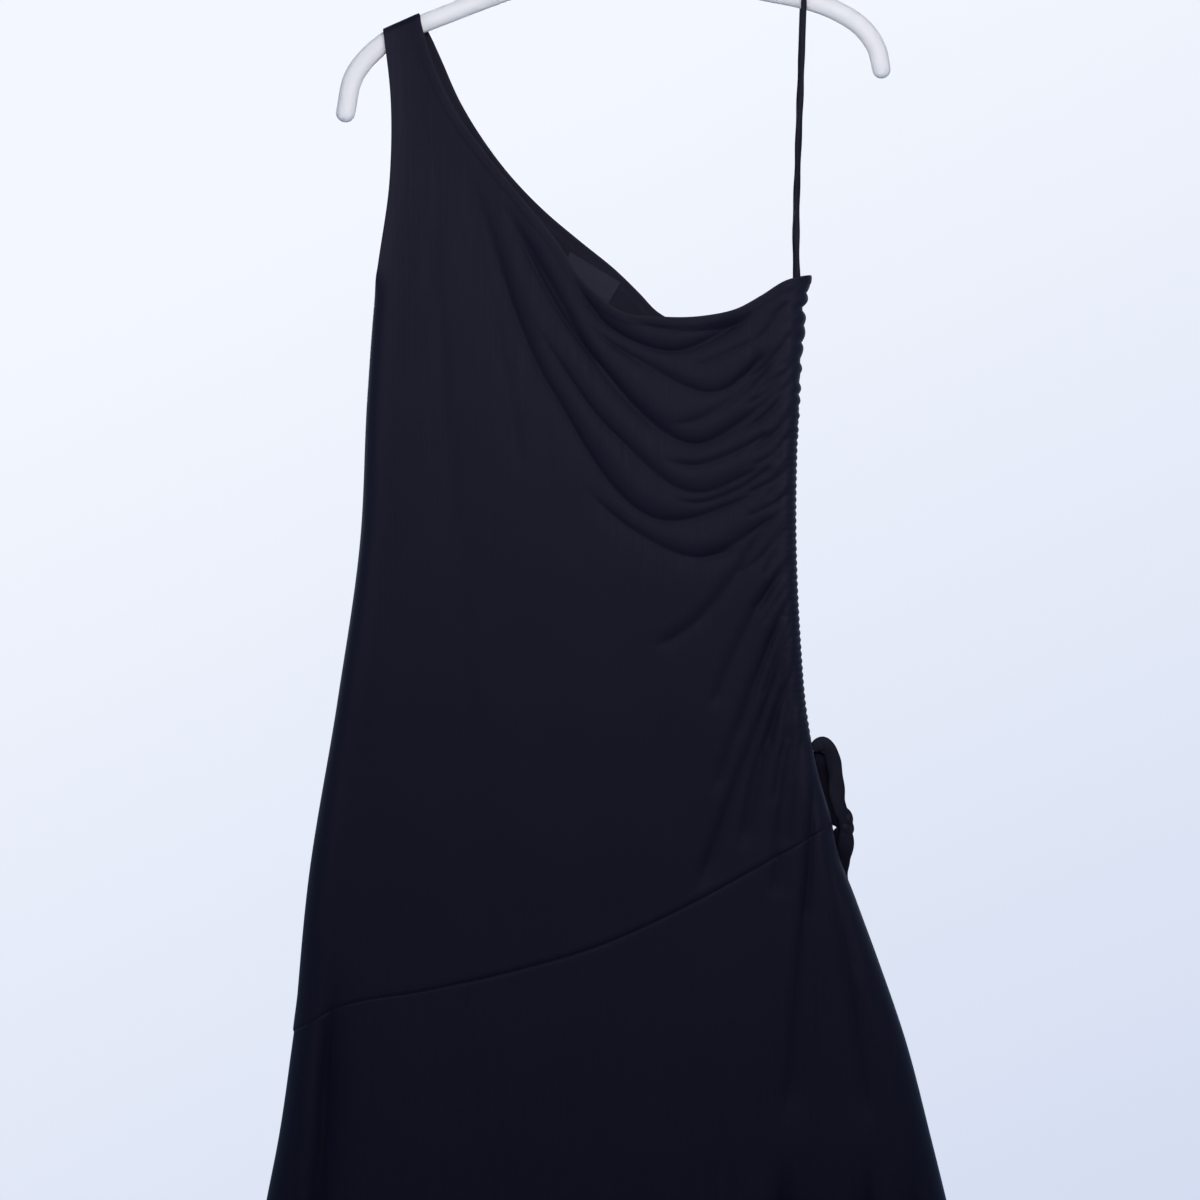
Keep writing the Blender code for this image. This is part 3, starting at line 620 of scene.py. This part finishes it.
def cloth_points(x, drop, front, plain=False):
    """The panel's inner surface as (x, y, drop), and each point's folds and lines, which the finish
    turns into painted shade, and its wear together with the painted light of its side edges.
    """
    side = -1 if front else 1
    drops, fronts, backs, _ = zip(*DEPTHS)
    depth = np.interp(drop, drops, fronts if front else backs)
    closed, from_left, from_right = closeness(x, drop)
    folds, line = fold_relief(CREASES[front], x, drop)
    share = np.tanh(folds / depth / MOST_FOLDED) * MOST_FOLDED
    height, wear_and_edge_light = edge_relief(x, drop, front, from_left)
    # Painted light: the colour is lightened near both side edges, where the rounded cloth turns from
    # the lamps; this part is not wear.
    wear_and_edge_light = np.maximum(wear_and_edge_light, np.exp(-np.minimum(from_left, from_right) / SIDE_EDGE_LIGHT_REACH))
    if plain:
        height = np.zeros(len(x))
    phase, row = gather_phase(drop)
    reach = from_right / PUFF_REACH
    puff = gather_size(row, WIDE_PUFF, FINE_PUFF) * reach * np.exp(1 - reach)
    puff *= np.cos(2 * np.pi * phase)
    scallop = gather_size(row, 0.0, FINE_SCALLOP) * np.cos(2 * np.pi * phase)
    moved = x + (scallop + edge_bumps(drop)) * np.exp(-from_right / SCALLOP_REACH)
    moved -= seam_step(drop) * np.exp(-from_left / SEAM_STEP_REACH)
    free = closed * smooth_step(from_right / FREE_FROM_SEAM)
    out = depth * (1 - share) * closed + puff + height * closed + slack(x, drop, front) * free
    y = side * (SEAM_GAP / 2 + np.clip(out, 0.0, None))
    return np.column_stack([moved, y, drop]), {"fold": folds, "line": line, "wear_and_edge_light": wear_and_edge_light}


def patch(top, bottom, left, right, s, t):
    """The surface between four edges, each a function of its fraction that gives (x, drop)."""
    zero, one = np.zeros(1), np.ones(1)
    s_, t_ = s[:, None], t[:, None]
    corners = (
        (1 - s_) * (1 - t_) * top(zero)
        + s_ * (1 - t_) * top(one)
        + (1 - s_) * t_ * bottom(zero)
        + s_ * t_ * bottom(one)
    )
    across = (1 - t_) * top(s) + t_ * bottom(s)
    down = (1 - s_) * left(t) + s_ * right(t)
    return across + down - corners


def along(table, power=1.0):
    """An edge as a function of its fraction. A power over 1 crowds its start."""
    return lambda fractions: smooth_path(table, np.asarray(fractions, float) ** power)


def by_drop(table):
    """An edge whose fraction goes evenly with the drop, so that its rows are level steps."""
    def at(fractions):
        drop = table[0][1] + (table[-1][1] - table[0][1]) * np.asarray(fractions, float)
        return np.column_stack([edge_at([table], drop), drop])
    return at


def over_shoulder(neck):
    """The top edge of an upper panel: the shoulder seam, then the neckline."""
    def at(fractions):
        fractions = np.asarray(fractions, float)
        seam = smooth_path(SHOULDER_SEAM, np.clip(fractions / SHOULDER_SPAN, 0, 1))
        run = smooth_path(neck, np.clip((fractions - SHOULDER_SPAN) / (1 - SHOULDER_SPAN), 0, 1))
        return np.where((fractions < SHOULDER_SPAN)[:, None], seam, run)
    return at


def columns_of(table):
    parts = [np.linspace(start, end, count, endpoint=False) for start, end, count in table]
    return np.concatenate([*parts, [1.0]])


# Making pieces

def finish_piece(piece, material, slot, *nodes):
    """Gives a piece its material and its body, and hides the solids that it stands for. The slot is
    not used.
    """
    piece.data.materials.append(material)
    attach(piece, "root")
    if nodes:
        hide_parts(*nodes)


def piece_of(name, bm, smooth=True):
    mesh = bpy.data.meshes.new(name)
    bm.to_mesh(mesh)
    bm.free()
    if smooth:
        mesh.shade_smooth()
    made = bpy.data.objects.new(name, mesh)
    bpy.context.scene.collection.objects.link(made)
    return made


def give_values(mesh, name, values):
    mesh.attributes.new(name, "FLOAT", "POINT").data.foreach_set("value", values)


def give_uv(mesh, across, down):
    """Lays the cloth's own grain on the mesh, in metres."""
    corner = np.empty(len(mesh.loops), np.int32)
    mesh.loops.foreach_get("vertex_index", corner)
    layer = mesh.uv_layers.new(name="grain")
    layer.data.foreach_set("uv", np.column_stack([across, down])[corner].ravel())


def give_wall(piece, thickness, outwards=1.0):
    wall = piece.modifiers.new("wall", "SOLIDIFY")
    wall.thickness = thickness * MM
    wall.offset = outwards
    wall.use_even_offset = False


def panel(name, edges, columns, rows, front):
    """One cut piece of the dress, as a thin shell outside its inner surface."""
    bm = bmesh.new()
    across = len(columns) - 1
    bmesh.ops.create_grid(bm, x_segments=across, y_segments=rows, size=0.5)
    s = columns[[round((vert.co.x + 0.5) * across) for vert in bm.verts]]
    t = np.array([0.5 - vert.co.y for vert in bm.verts])
    flat = patch(*edges, s, t)
    points, values = cloth_points(flat[:, 0], flat[:, 1], front)
    for vert, (x, y, drop) in zip(bm.verts, points):
        vert.co = (x * MM, y * MM, -drop * MM)
    if not front:
        bmesh.ops.reverse_faces(bm, faces=bm.faces)
    made = piece_of(name, bm)
    give_uv(made.data, flat[:, 0] * MM, -flat[:, 1] * MM)
    for kind, value in values.items():
        give_values(made.data, kind, value)
    give_wall(made, WALL)
    return made


def square_to(run, way):
    """The direction nearest to way that is square to run."""
    return (way - run * way.dot(run)).normalized()


def placed(middle, *axes):
    """The matrix that carries a unit shape to a point, with these axes."""
    return Matrix.Translation(middle) @ Matrix(axes).transposed().to_4x4()


def tube(name, points, wide, halves, segments):
    """A closed tube through points in millimetres. wide gives each ring's first direction, and
    halves its half width along and across that direction."""
    bm = bmesh.new()
    points = [Vector(point) * MM for point in points]
    before = None
    for number, point in enumerate(points):
        ahead = points[min(number + 1, len(points) - 1)]
        behind = points[max(number - 1, 0)]
        run = (ahead - behind).normalized()
        first = square_to(run, Vector(wide[number]))
        size, thick = halves[number]
        place = placed(point, first * size * MM, run.cross(first) * thick * MM, run)
        ring = bmesh.ops.create_circle(bm, segments=segments, radius=1.0, matrix=place)["verts"]
        edges = list({edge for vert in ring for edge in vert.link_edges if not edge.link_faces})
        if before:
            bmesh.ops.bridge_loops(bm, edges=before + edges)
        if number in (0, len(points) - 1):
            bmesh.ops.contextual_create(bm, geom=edges)
        before = edges
    bmesh.ops.recalc_face_normals(bm, faces=bm.faces)
    return piece_of(name, bm)


def upright(table):
    """(x, drop, y) rows as (x, y, z) points in millimetres."""
    return [(x, y, -drop) for x, drop, y in table]


# Finishes

class Nodes:
    """A tree whose nodes are made in short lines."""

    def __init__(self, tree):
        self.tree = tree

    def node(self, kind, *inputs, **settings):
        made = self.tree.nodes.new("ShaderNode" + kind)
        for key, value in settings.items():
            setattr(made, key, value)
        for number, value in enumerate(inputs):
            self.put(made.inputs[number], value)
        return made

    def put(self, socket, value):
        if isinstance(value, bpy.types.NodeSocket):
            self.tree.links.new(value, socket)
        elif value is not None:
            socket.default_value = value

    def sum(self, operation, *inputs):
        return self.node("Math", *inputs, operation=operation).outputs[0]

    def noise(self, vector, scale, detail=2.0, roughness=0.5):
        made = self.node("TexNoise", noise_dimensions="3D")
        self.put(made.inputs["Vector"], vector)
        self.put(made.inputs["Scale"], scale)
        self.put(made.inputs["Detail"], detail)
        self.put(made.inputs["Roughness"], roughness)
        return made.outputs["Fac"]

    def ranged(self, value, low, high, to_low, to_high):
        return self.node("MapRange", value, low, high, to_low, to_high).outputs["Result"]

    def mixed(self, share, first, second):
        made = self.node("Mix", data_type="RGBA")
        self.put(made.inputs["Factor"], share)
        self.put(made.inputs["A"], first)
        self.put(made.inputs["B"], second)
        return made.outputs["Result"]

    def scaled(self, vector, scale):
        return self.node("Mapping", vector, None, None, scale).outputs["Vector"]


class Finish(Nodes):
    """A material on the usual shader."""

    def __init__(self, name, **settings):
        self.material = bpy.data.materials.new(name)
        self.material.use_nodes = True
        super().__init__(self.material.node_tree)
        self.shader = self.tree.nodes["Principled BSDF"]
        for socket, value in settings.items():
            self.shader.inputs[socket.replace("_", " ")].default_value = value

    def colour(self, value):
        self.put(self.shader.inputs["Base Color"], value)

    def roughness(self, value):
        self.put(self.shader.inputs["Roughness"], value)

    def bump(self, height, strength, distance):
        made = self.node("Bump")
        self.put(made.inputs["Strength"], strength)
        self.put(made.inputs["Distance"], distance)
        self.put(made.inputs["Height"], height)
        self.put(self.shader.inputs["Normal"], made.outputs["Normal"])


JERSEY_SHEEN = {
    "Specular_IOR_Level": 0.09,
    "Specular_Tint": (0.78, 0.84, 1.0, 1.0),
    "Sheen_Weight": 0.06,
    "Sheen_Roughness": 0.45,
    "Sheen_Tint": (0.55, 0.62, 1.0, 1.0),
}
WALE_WIDTH = 0.00095
COURSE_HEIGHT = 0.00075


def jersey_finish():
    """Slinky black jersey: fine wales, faint streaks, a soft sheen and slightly worn edges, with
    painted shade in the deeper folds and along the sharp line of each crease, and painted light along
    the side edges.
    """
    made = Finish("black_jersey_cloth", **JERSEY_SHEEN)
    grain = made.node("UVMap", uv_map="grain").outputs["UV"]
    parts = made.node("SeparateXYZ", grain)
    wale = made.sum("DIVIDE", parts.outputs["X"], WALE_WIDTH)
    across = made.sum("ABSOLUTE", made.sum("SUBTRACT", made.sum("FRACT", wale), 0.5))
    course = made.sum("DIVIDE", parts.outputs["Y"], COURSE_HEIGHT)
    leaning = made.sum("MULTIPLY_ADD", across, 0.7, course)
    stitch = made.sum("SINE", made.sum("MULTIPLY", leaning, 2 * np.pi))
    rib = made.sum("MULTIPLY", across, -1.8)
    knit = made.sum("MULTIPLY_ADD", stitch, 0.22, rib)
    streaks = made.noise(made.scaled(grain, (520, 14, 1)), 1.0, 3.0)
    clouds = made.noise(grain, 9.0, 3.0)
    fold, line, wear_and_edge_light = (
        made.node("Attribute", attribute_name=name).outputs["Fac"] for name in ("fold", "line", "wear_and_edge_light")
    )
    # Painted shade: the colour darkens in the deeper folds and, more strongly, along the sharpest line
    # of each crease.
    crease_shade = (0.0012, 0.0018, 0.0056, 1)
    cool = made.mixed(clouds, (0.0047, 0.0046, 0.0120, 1), (0.0066, 0.0058, 0.0140, 1))
    lit = made.mixed(made.ranged(streaks, 0.3, 0.75, 0.0, 0.35), cool, (0.0096, 0.0086, 0.0172, 1))
    shaded = made.mixed(made.ranged(fold, 0.5, 4.5, 0.0, 0.28), lit, crease_shade)
    crease_line_shaded = made.mixed(made.ranged(line, 0.0, 1.0, 0.0, 0.45), shaded, crease_shade)
    # Lighter near the edges: wear at the neckline, armhole and hem, and painted light along the side
    # edges.
    worn_and_edge_lit = made.mixed(made.ranged(wear_and_edge_light, 0.1, 1.0, 0.0, 0.8), crease_line_shaded, (0.0165, 0.0155, 0.0270, 1))
    made.colour(worn_and_edge_lit)
    made.roughness(made.ranged(streaks, 0.25, 0.75, 0.50, 0.64))
    made.bump(made.sum("MULTIPLY_ADD", streaks, 0.8, knit), 0.5, 0.00012)
    return made.material


def cord_finish():
    """The same jersey, cut in narrow strips, with its grain along the strip."""
    made = Finish("black_jersey_strip", **JERSEY_SHEEN)
    place = made.node("TexCoord").outputs["Object"]
    fibres = made.noise(made.scaled(place, (900, 900, 120)), 1.0, 3.0)
    wrinkles = made.noise(place, 260.0, 2.0)
    made.colour(made.mixed(fibres, (0.0062, 0.0056, 0.0120, 1), (0.0150, 0.0128, 0.0215, 1)))
    made.roughness(made.ranged(fibres, 0.3, 0.7, 0.52, 0.68))
    made.bump(made.sum("MULTIPLY_ADD", wrinkles, 2.0, fibres), 0.6, 0.0002)
    return made.material


def label_finish():
    """Dark woven tape with a fine twill."""
    made = Finish("label_tape_weave", **{"Specular_IOR_Level": 0.15, "Sheen_Weight": 0.04})
    grain = made.node("UVMap", uv_map="grain").outputs["UV"]
    parts = made.node("SeparateXYZ", grain)
    twill = made.sum("ADD", parts.outputs["X"], parts.outputs["Y"])
    lines = made.sum("SINE", made.sum("MULTIPLY", twill, 9000.0))
    warp = made.sum("SINE", made.sum("MULTIPLY", parts.outputs["Y"], 12000.0))
    weave = made.sum("MULTIPLY_ADD", warp, 0.5, lines)
    clouds = made.noise(grain, 60.0)
    base = made.mixed(clouds, (0.0088, 0.0100, 0.0220, 1), (0.0112, 0.0125, 0.0262, 1))
    made.colour(made.mixed(made.ranged(weave, -1.5, 1.5, 0.0, 0.35), base, (0.015, 0.016, 0.032, 1)))
    made.roughness(made.ranged(weave, -1.5, 1.5, 0.46, 0.6))
    made.bump(weave, 0.4, 0.00008)
    return made.material


def thread_finish():
    made = Finish("black_thread", Specular_IOR_Level=0.3)
    place = made.node("TexCoord").outputs["Object"]
    twist = made.noise(made.scaled(place, (2600, 2600, 2600)), 1.0, 2.0)
    made.colour(made.mixed(twist, (0.006, 0.006, 0.010, 1), (0.02, 0.02, 0.026, 1)))
    made.roughness(made.ranged(twist, 0.3, 0.7, 0.5, 0.7))
    made.bump(twist, 0.5, 0.00008)
    return made.material


def plastic_finish():
    """Off-white moulded plastic, satin, with faint scuffs."""
    made = Finish("hanger_plastic_satin", **{
        "Specular_IOR_Level": 0.25,
        "Subsurface_Weight": 0.7,
        "Subsurface_Radius": (1.0, 1.0, 1.0),
        "Subsurface_Scale": 0.007,
    })
    place = made.node("TexCoord").outputs["Object"]
    clouds = made.noise(place, 14.0, 3.0)
    scuffs = made.noise(made.scaled(place, (70, 300, 420)), 1.0, 4.0, 0.6)
    base = made.mixed(clouds, (0.770, 0.752, 0.752, 1), (0.830, 0.812, 0.812, 1))
    marked = made.mixed(made.ranged(scuffs, 0.60, 0.78, 0.0, 0.4), base, (0.71, 0.70, 0.70, 1))
    made.colour(marked)
    made.roughness(made.ranged(scuffs, 0.3, 0.75, 0.40, 0.58))
    made.bump(clouds, 0.2, 0.0002)
    return made.material


# The dress

def dress_panels(jersey):
    left = along(LEFT_EDGE, LEFT_ROW_CROWDING)
    right = by_drop(RIGHT_EDGE)
    hip = along(HIP_SEAM)
    skirt = (hip, along(HEM), along(SKIRT_LEFT), along(SKIRT_RIGHT))
    made = {}
    for word, front, neck in (("front", True, FRONT_NECK), ("back", False, BACK_NECK)):
        upper = (over_shoulder(neck), hip, left, right)
        top = panel(f"dress_{word}", upper, columns_of(COLUMNS), UPPER_ROWS, front)
        finish_piece(top, jersey, "black_jersey", f"{word}_upper")
        low = panel(f"skirt_{word}", skirt, columns_of(SKIRT_COLUMNS), SKIRT_ROWS, front)
        finish_piece(low, jersey, "black_jersey", f"{word}_skirt")
        made[f"dress_{word}"] = top
        made[f"skirt_{word}"] = low
    return made


def shoulder_strap(strip):
    """The thin strap: up the front, over the arm and down the back, with a slight twist."""
    front = smooth_path(STRAP_SIDE, np.linspace(0, 1, 60))
    back = front[::-1] * np.array([1, 1, -1])
    line = np.array([*front, STRAP_TOP, *back])
    share = np.linspace(-1, 1, len(line))
    off_top = smooth_step(np.abs(share) * 5 - 1)
    turn = STRAP_TWIST * np.sin(share * 7.5) * (1 - np.abs(share) ** 6) * off_top
    wide = [(np.cos(angle), np.sin(angle), 0.0) for angle in turn]
    pinch = 1 - STRAP_PINCH * np.cos(share * 41) * smooth_step(np.abs(share) * 6 - 1)
    halves = [(STRAP_WIDTH / 2 * p, STRAP_THICKNESS / 2 * (2 - p)) for p in pinch]
    made = tube("strap_thin", upright(line), wide, halves, 14)
    finish_piece(made, strip, "black_jersey", "shoulder_strap")


def drawstring(strip):
    """The drawstring's two ends, each one strip from the channel through the knot to its tail."""
    knot = knotted_lump()
    finish_piece(knot, strip, "black_jersey", "tie_knot")
    for name, table in CORDS.items():
        share = np.linspace(0, 1, 90)
        line = smooth_path(table, share)
        length = arc_length(line)
        grown = smooth_step(share * length / CORD_START_LENGTH)
        full = CORD_START_SHARE + (1 - CORD_START_SHARE) * grown
        from_knot = np.linalg.norm(line - np.array(KNOT_AT), axis=1)
        full *= 1 - KNOT_PULL * np.exp(-((from_knot / KNOT_PULL_REACH) ** 2))
        wave = 1 + 0.06 * np.sin(share * 41) + 0.05 * np.sin(share * 19 + 1)
        turn = 0.28 * np.sin(share * 8.0 + 0.6) * grown
        wide = [(np.sin(angle), np.cos(angle), 0.0) for angle in turn]
        thick, broad = CORD_THICKNESS / 2 / wave, CORD_WIDTH / 2 * full * wave
        made = tube(name, upright(line), wide, list(zip(thick, broad)), 20)
        node = "tie_outer" if name == "drawstring_outer" else "tie_inner"
        finish_piece(made, strip, "black_jersey", node, node + "_tail")


def knotted_lump():
    """The knot: one flat strip wound round in three crossings, tall and leaning to the left."""
    turns = np.linspace(0, 2 * np.pi, 121)[:-1]
    x = (np.sin(turns) + 2 * np.sin(2 * turns)) * KNOT_SIZE[0]
    y = -np.sin(3 * turns) * KNOT_SIZE[1]
    z = (np.cos(turns) - 2 * np.cos(2 * turns)) * KNOT_SIZE[2]
    lean = x * np.cos(KNOT_TILT) + z * np.sin(KNOT_TILT)
    rise = z * np.cos(KNOT_TILT) - x * np.sin(KNOT_TILT)
    line = np.column_stack([lean, y, rise]) + np.array([KNOT_AT[0], KNOT_AT[2], -KNOT_AT[1]])
    bm = bmesh.new()
    rings = []
    thick, broad = KNOT_HALVES
    for number in range(len(line)):
        run = Vector(line[(number + 1) % len(line)] - line[number - 1]).normalized()
        first = square_to(run, BACKWARDS)
        middle = Vector(line[number]) * MM
        place = placed(middle, first * thick * MM, run.cross(first) * broad * MM, run)
        ring = bmesh.ops.create_circle(bm, segments=16, radius=1.0, matrix=place)["verts"]
        rings.append(list({edge for vert in ring for edge in vert.link_edges}))
    for number, ring in enumerate(rings):
        bmesh.ops.bridge_loops(bm, edges=rings[number - 1] + ring)
    bmesh.ops.recalc_face_normals(bm, faces=bm.faces)
    return piece_of("drawstring_knot", bm)


def neck_label(tape):
    """A blank woven label on the inner face of the back."""
    bm = bmesh.new()
    bmesh.ops.create_grid(bm, x_segments=48, y_segments=24, size=0.5)
    u = np.array([vert.co.x + 0.5 for vert in bm.verts]) * LABEL_LENGTH
    v = np.array([0.5 - vert.co.y for vert in bm.verts]) * LABEL_HEIGHT
    x = LABEL_CORNER[0] + u * np.cos(LABEL_SLOPE) - v * np.sin(LABEL_SLOPE)
    drop = LABEL_CORNER[1] + u * np.sin(LABEL_SLOPE) + v * np.cos(LABEL_SLOPE)
    points, _ = cloth_points(x, drop, False, plain=True)
    for vert, (x_, y_, drop_) in zip(bm.verts, points):
        vert.co = (x_ * MM, (y_ - LABEL_GAP) * MM, -drop_ * MM)
    made = piece_of("neck_tape_label", bm)
    give_uv(made.data, u * MM, v * MM)
    give_wall(made, LABEL_WALL)
    finish_piece(made, tape, "label_tape", "neck_label")


def stitch_row(bm, starts, ends):
    """Adds one row of short raised stitches, each a small rounded bar between two points."""
    for start, end in zip(starts, ends):
        run = end - start
        ahead = run.normalized()
        first = square_to(ahead, BACKWARDS)
        lift = first * STITCH_LIFT * MM
        width = ahead.cross(first) * STITCH_HALF_WIDTH * MM
        place = placed((start + end) / 2, run * 0.5, lift, width)
        bmesh.ops.create_icosphere(bm, subdivisions=1, radius=1.0, matrix=place)


def hem_stitching(thread):
    """Two rows of stitches round the hem, on the front and on the back."""
    for word, front in (("front", True), ("back", False)):
        bm = bmesh.new()
        hem = smooth_path(HEM, np.linspace(0, 1, 1200))
        hem = hem[(hem[:, 0] > STITCHED_FROM) & (hem[:, 0] < STITCHED_TO)]
        run = np.concatenate([[0], np.cumsum(np.linalg.norm(np.diff(hem, axis=0), axis=1))])
        for above in STITCH_ROWS:
            places = np.arange(0, run[-1] - STITCH_STEP, STITCH_STEP)
            ends = []
            for shift in (0.0, STITCH_LENGTH):
                x = np.interp(places + shift, run, hem[:, 0])
                drop = np.interp(places + shift, run, hem[:, 1]) - above
                points, _ = cloth_points(x, drop, front)
                points[:, 1] += (WALL + 0.1) * (-1 if front else 1)
                ends.append([Vector(point) * MM for point in points * [1, 1, -1]])
            stitch_row(bm, *ends)
        made = piece_of(f"hem_stitches_{word}", bm)
        finish_piece(made, thread, "black_jersey")


def hanger(plastic):
    """The moulded arms with round tips, and the round hook."""
    line = smooth_path(HANGER_LINE, np.linspace(0, 1, 140))
    end_of = min(HANGER_LINE[0][2], HANGER_LINE[-1][2]) / 2
    points = [(x, 0.0, -drop) for x, drop, _ in line]
    halves = [(HANGER_DEPTH / 2, height / 2) for _, _, height in line]
    for end, inner in ((0, 1), (-1, -2)):
        tip = Vector(points[end])
        outward = (tip - Vector(points[inner])).normalized()
        size = halves[end]
        for degrees in TIP_DEGREES:
            turn = np.radians(degrees)
            place = len(points) if end else 0
            points.insert(place, tuple(tip + outward * end_of * np.sin(turn)))
            halves.insert(place, (size[0] * np.cos(turn), size[1] * np.cos(turn)))
    wide = [(0, 1, 0)] * len(points)
    arms = tube("hanger_shoulders", points, wide, halves, 32)
    finish_piece(arms, plastic, "hanger_plastic", "hanger_arms")
    centre_line = HOOK_BORE + HOOK_WIRE
    points = [(0.0, 0.0, -drop) for drop in np.linspace(*HOOK_STEM, 8)]
    for degrees in np.linspace(HOOK_FROM, HOOK_TO, 90):
        turn = np.radians(degrees)
        points.append((centre_line * np.cos(turn), 0.0, centre_line * np.sin(turn) - HOOK_BORE))
    halves = [(HOOK_WIRE, HOOK_WIRE)] * len(points)
    hook = tube("hanger_round_hook", points, [(0, 1, 0)] * len(points), halves, 24)
    finish_piece(hook, plastic, "hanger_plastic", "hanger_hook")


# The room

ROOM_COLOUR = (0.26, 0.60, 1.0, 1.0)
ROOM_STRENGTH = 0.2
# The wall that the camera sees runs from the high colour at the top to the low colour at the lower
# right: painted shade for the fall of light across it.
WALL_LOW = (0.65, 0.715, 0.875, 1.0)
WALL_HIGH = (0.90, 0.93, 1.0, 1.0)
WALL_SLANT = -0.45
WALL_RANGE = (-0.34, 0.20)
FLOOR_DROP = 2.0
FLOOR_GLOW = 0.8
WINDOW = {
    "aim": (-0.03, 0.0, -0.30),
    "size": 0.8,
    "power": 8.2,
    "colour": (1.0, 0.955, 0.955),
    "spread": np.radians(112),
}
SIDE_LIGHT = {
    "aim": (0.0, 0.0, -0.45),
    "size": 1.1,
    "power": 2.5,
    "colour": (0.86, 0.92, 1.0),
    "spread": np.radians(180),
}
LAMPS = [
    ("front_window", WINDOW, (0.15, -1.5, 0.12)),
    ("front_side_0", SIDE_LIGHT, (-1.25, -1.25, -0.10)),
    ("front_side_1", SIDE_LIGHT, (1.25, -1.25, -0.10)),
    ("rear_window", WINDOW, (-0.15, 1.5, 0.12)),
    ("rear_side_0", SIDE_LIGHT, (-1.25, 1.25, -0.10)),
    ("rear_side_1", SIDE_LIGHT, (1.25, 1.25, -0.10)),
]


def soft_light(name, place, aim, size, power, colour, spread):
    lamp = bpy.data.lights.new(name, "AREA")
    lamp.shape = "SQUARE"
    lamp.size = size
    lamp.spread = spread
    lamp.energy = power
    lamp.color = colour
    made = bpy.data.objects.new(name, lamp)
    made.location = place
    way = Vector(aim) - Vector(place)
    made.rotation_euler = way.to_track_quat("-Z", "Y").to_euler()
    bpy.context.scene.collection.objects.link(made)


def studio():
    """A pale room: a bright wall with painted shade towards the lower right, a pale floor, and soft
    lamps in front and behind.
    """
    scene = bpy.context.scene
    scene.view_settings.view_transform = "Standard"
    world = bpy.data.worlds.new("pale_room")
    scene.world = world
    world.use_nodes = True
    sky = Nodes(world.node_tree)
    room = sky.tree.nodes["Background"]
    room.inputs["Color"].default_value = ROOM_COLOUR
    room.inputs["Strength"].default_value = ROOM_STRENGTH
    # Painted shade on the wall: darker towards the lower right.
    way = sky.node("SeparateXYZ", sky.node("TexCoord").outputs["Generated"])
    slanted = sky.sum("MULTIPLY_ADD", way.outputs["X"], WALL_SLANT, way.outputs["Z"])
    shade = sky.ranged(slanted, *WALL_RANGE, 0.0, 1.0)
    wall = sky.node("Background", sky.mixed(shade, WALL_LOW, WALL_HIGH))
    seen = sky.node("LightPath").outputs["Is Camera Ray"]
    either = sky.node("MixShader", seen, room.outputs[0], wall.outputs[0])
    sky.put(sky.tree.nodes["World Output"].inputs["Surface"], either.outputs[0])
    bm = bmesh.new()
    place = Matrix.Translation((0, 0, -FLOOR_DROP))
    bmesh.ops.create_circle(bm, cap_ends=True, segments=96, radius=1.8, matrix=place)
    floor = piece_of("studio_floor", bm, smooth=False)
    finish = Finish("pale_floor", Roughness=0.8, Emission_Color=(0.62, 0.68, 0.80, 1.0))
    seen = finish.node("LightPath").outputs["Is Camera Ray"]
    finish.put(finish.shader.inputs["Emission Strength"], finish.sum("MULTIPLY", seen, FLOOR_GLOW))
    place = finish.node("TexCoord").outputs["Object"]
    clouds = finish.noise(place, 3.0)
    finish.colour(finish.mixed(clouds, (0.80, 0.82, 0.86, 1), (0.84, 0.86, 0.90, 1)))
    floor.data.materials.append(finish.material)
    for name, kind, place in LAMPS:
        soft_light(name, place, **kind)


def main():
    set_camera()
    strip = cord_finish()
    drawstring(strip)
    panels = dress_panels(jersey_finish())
    shoulder_strap(strip)
    neck_label(label_finish())
    hem_stitching(thread_finish())
    hanger(plastic_finish())
    studio()


main()
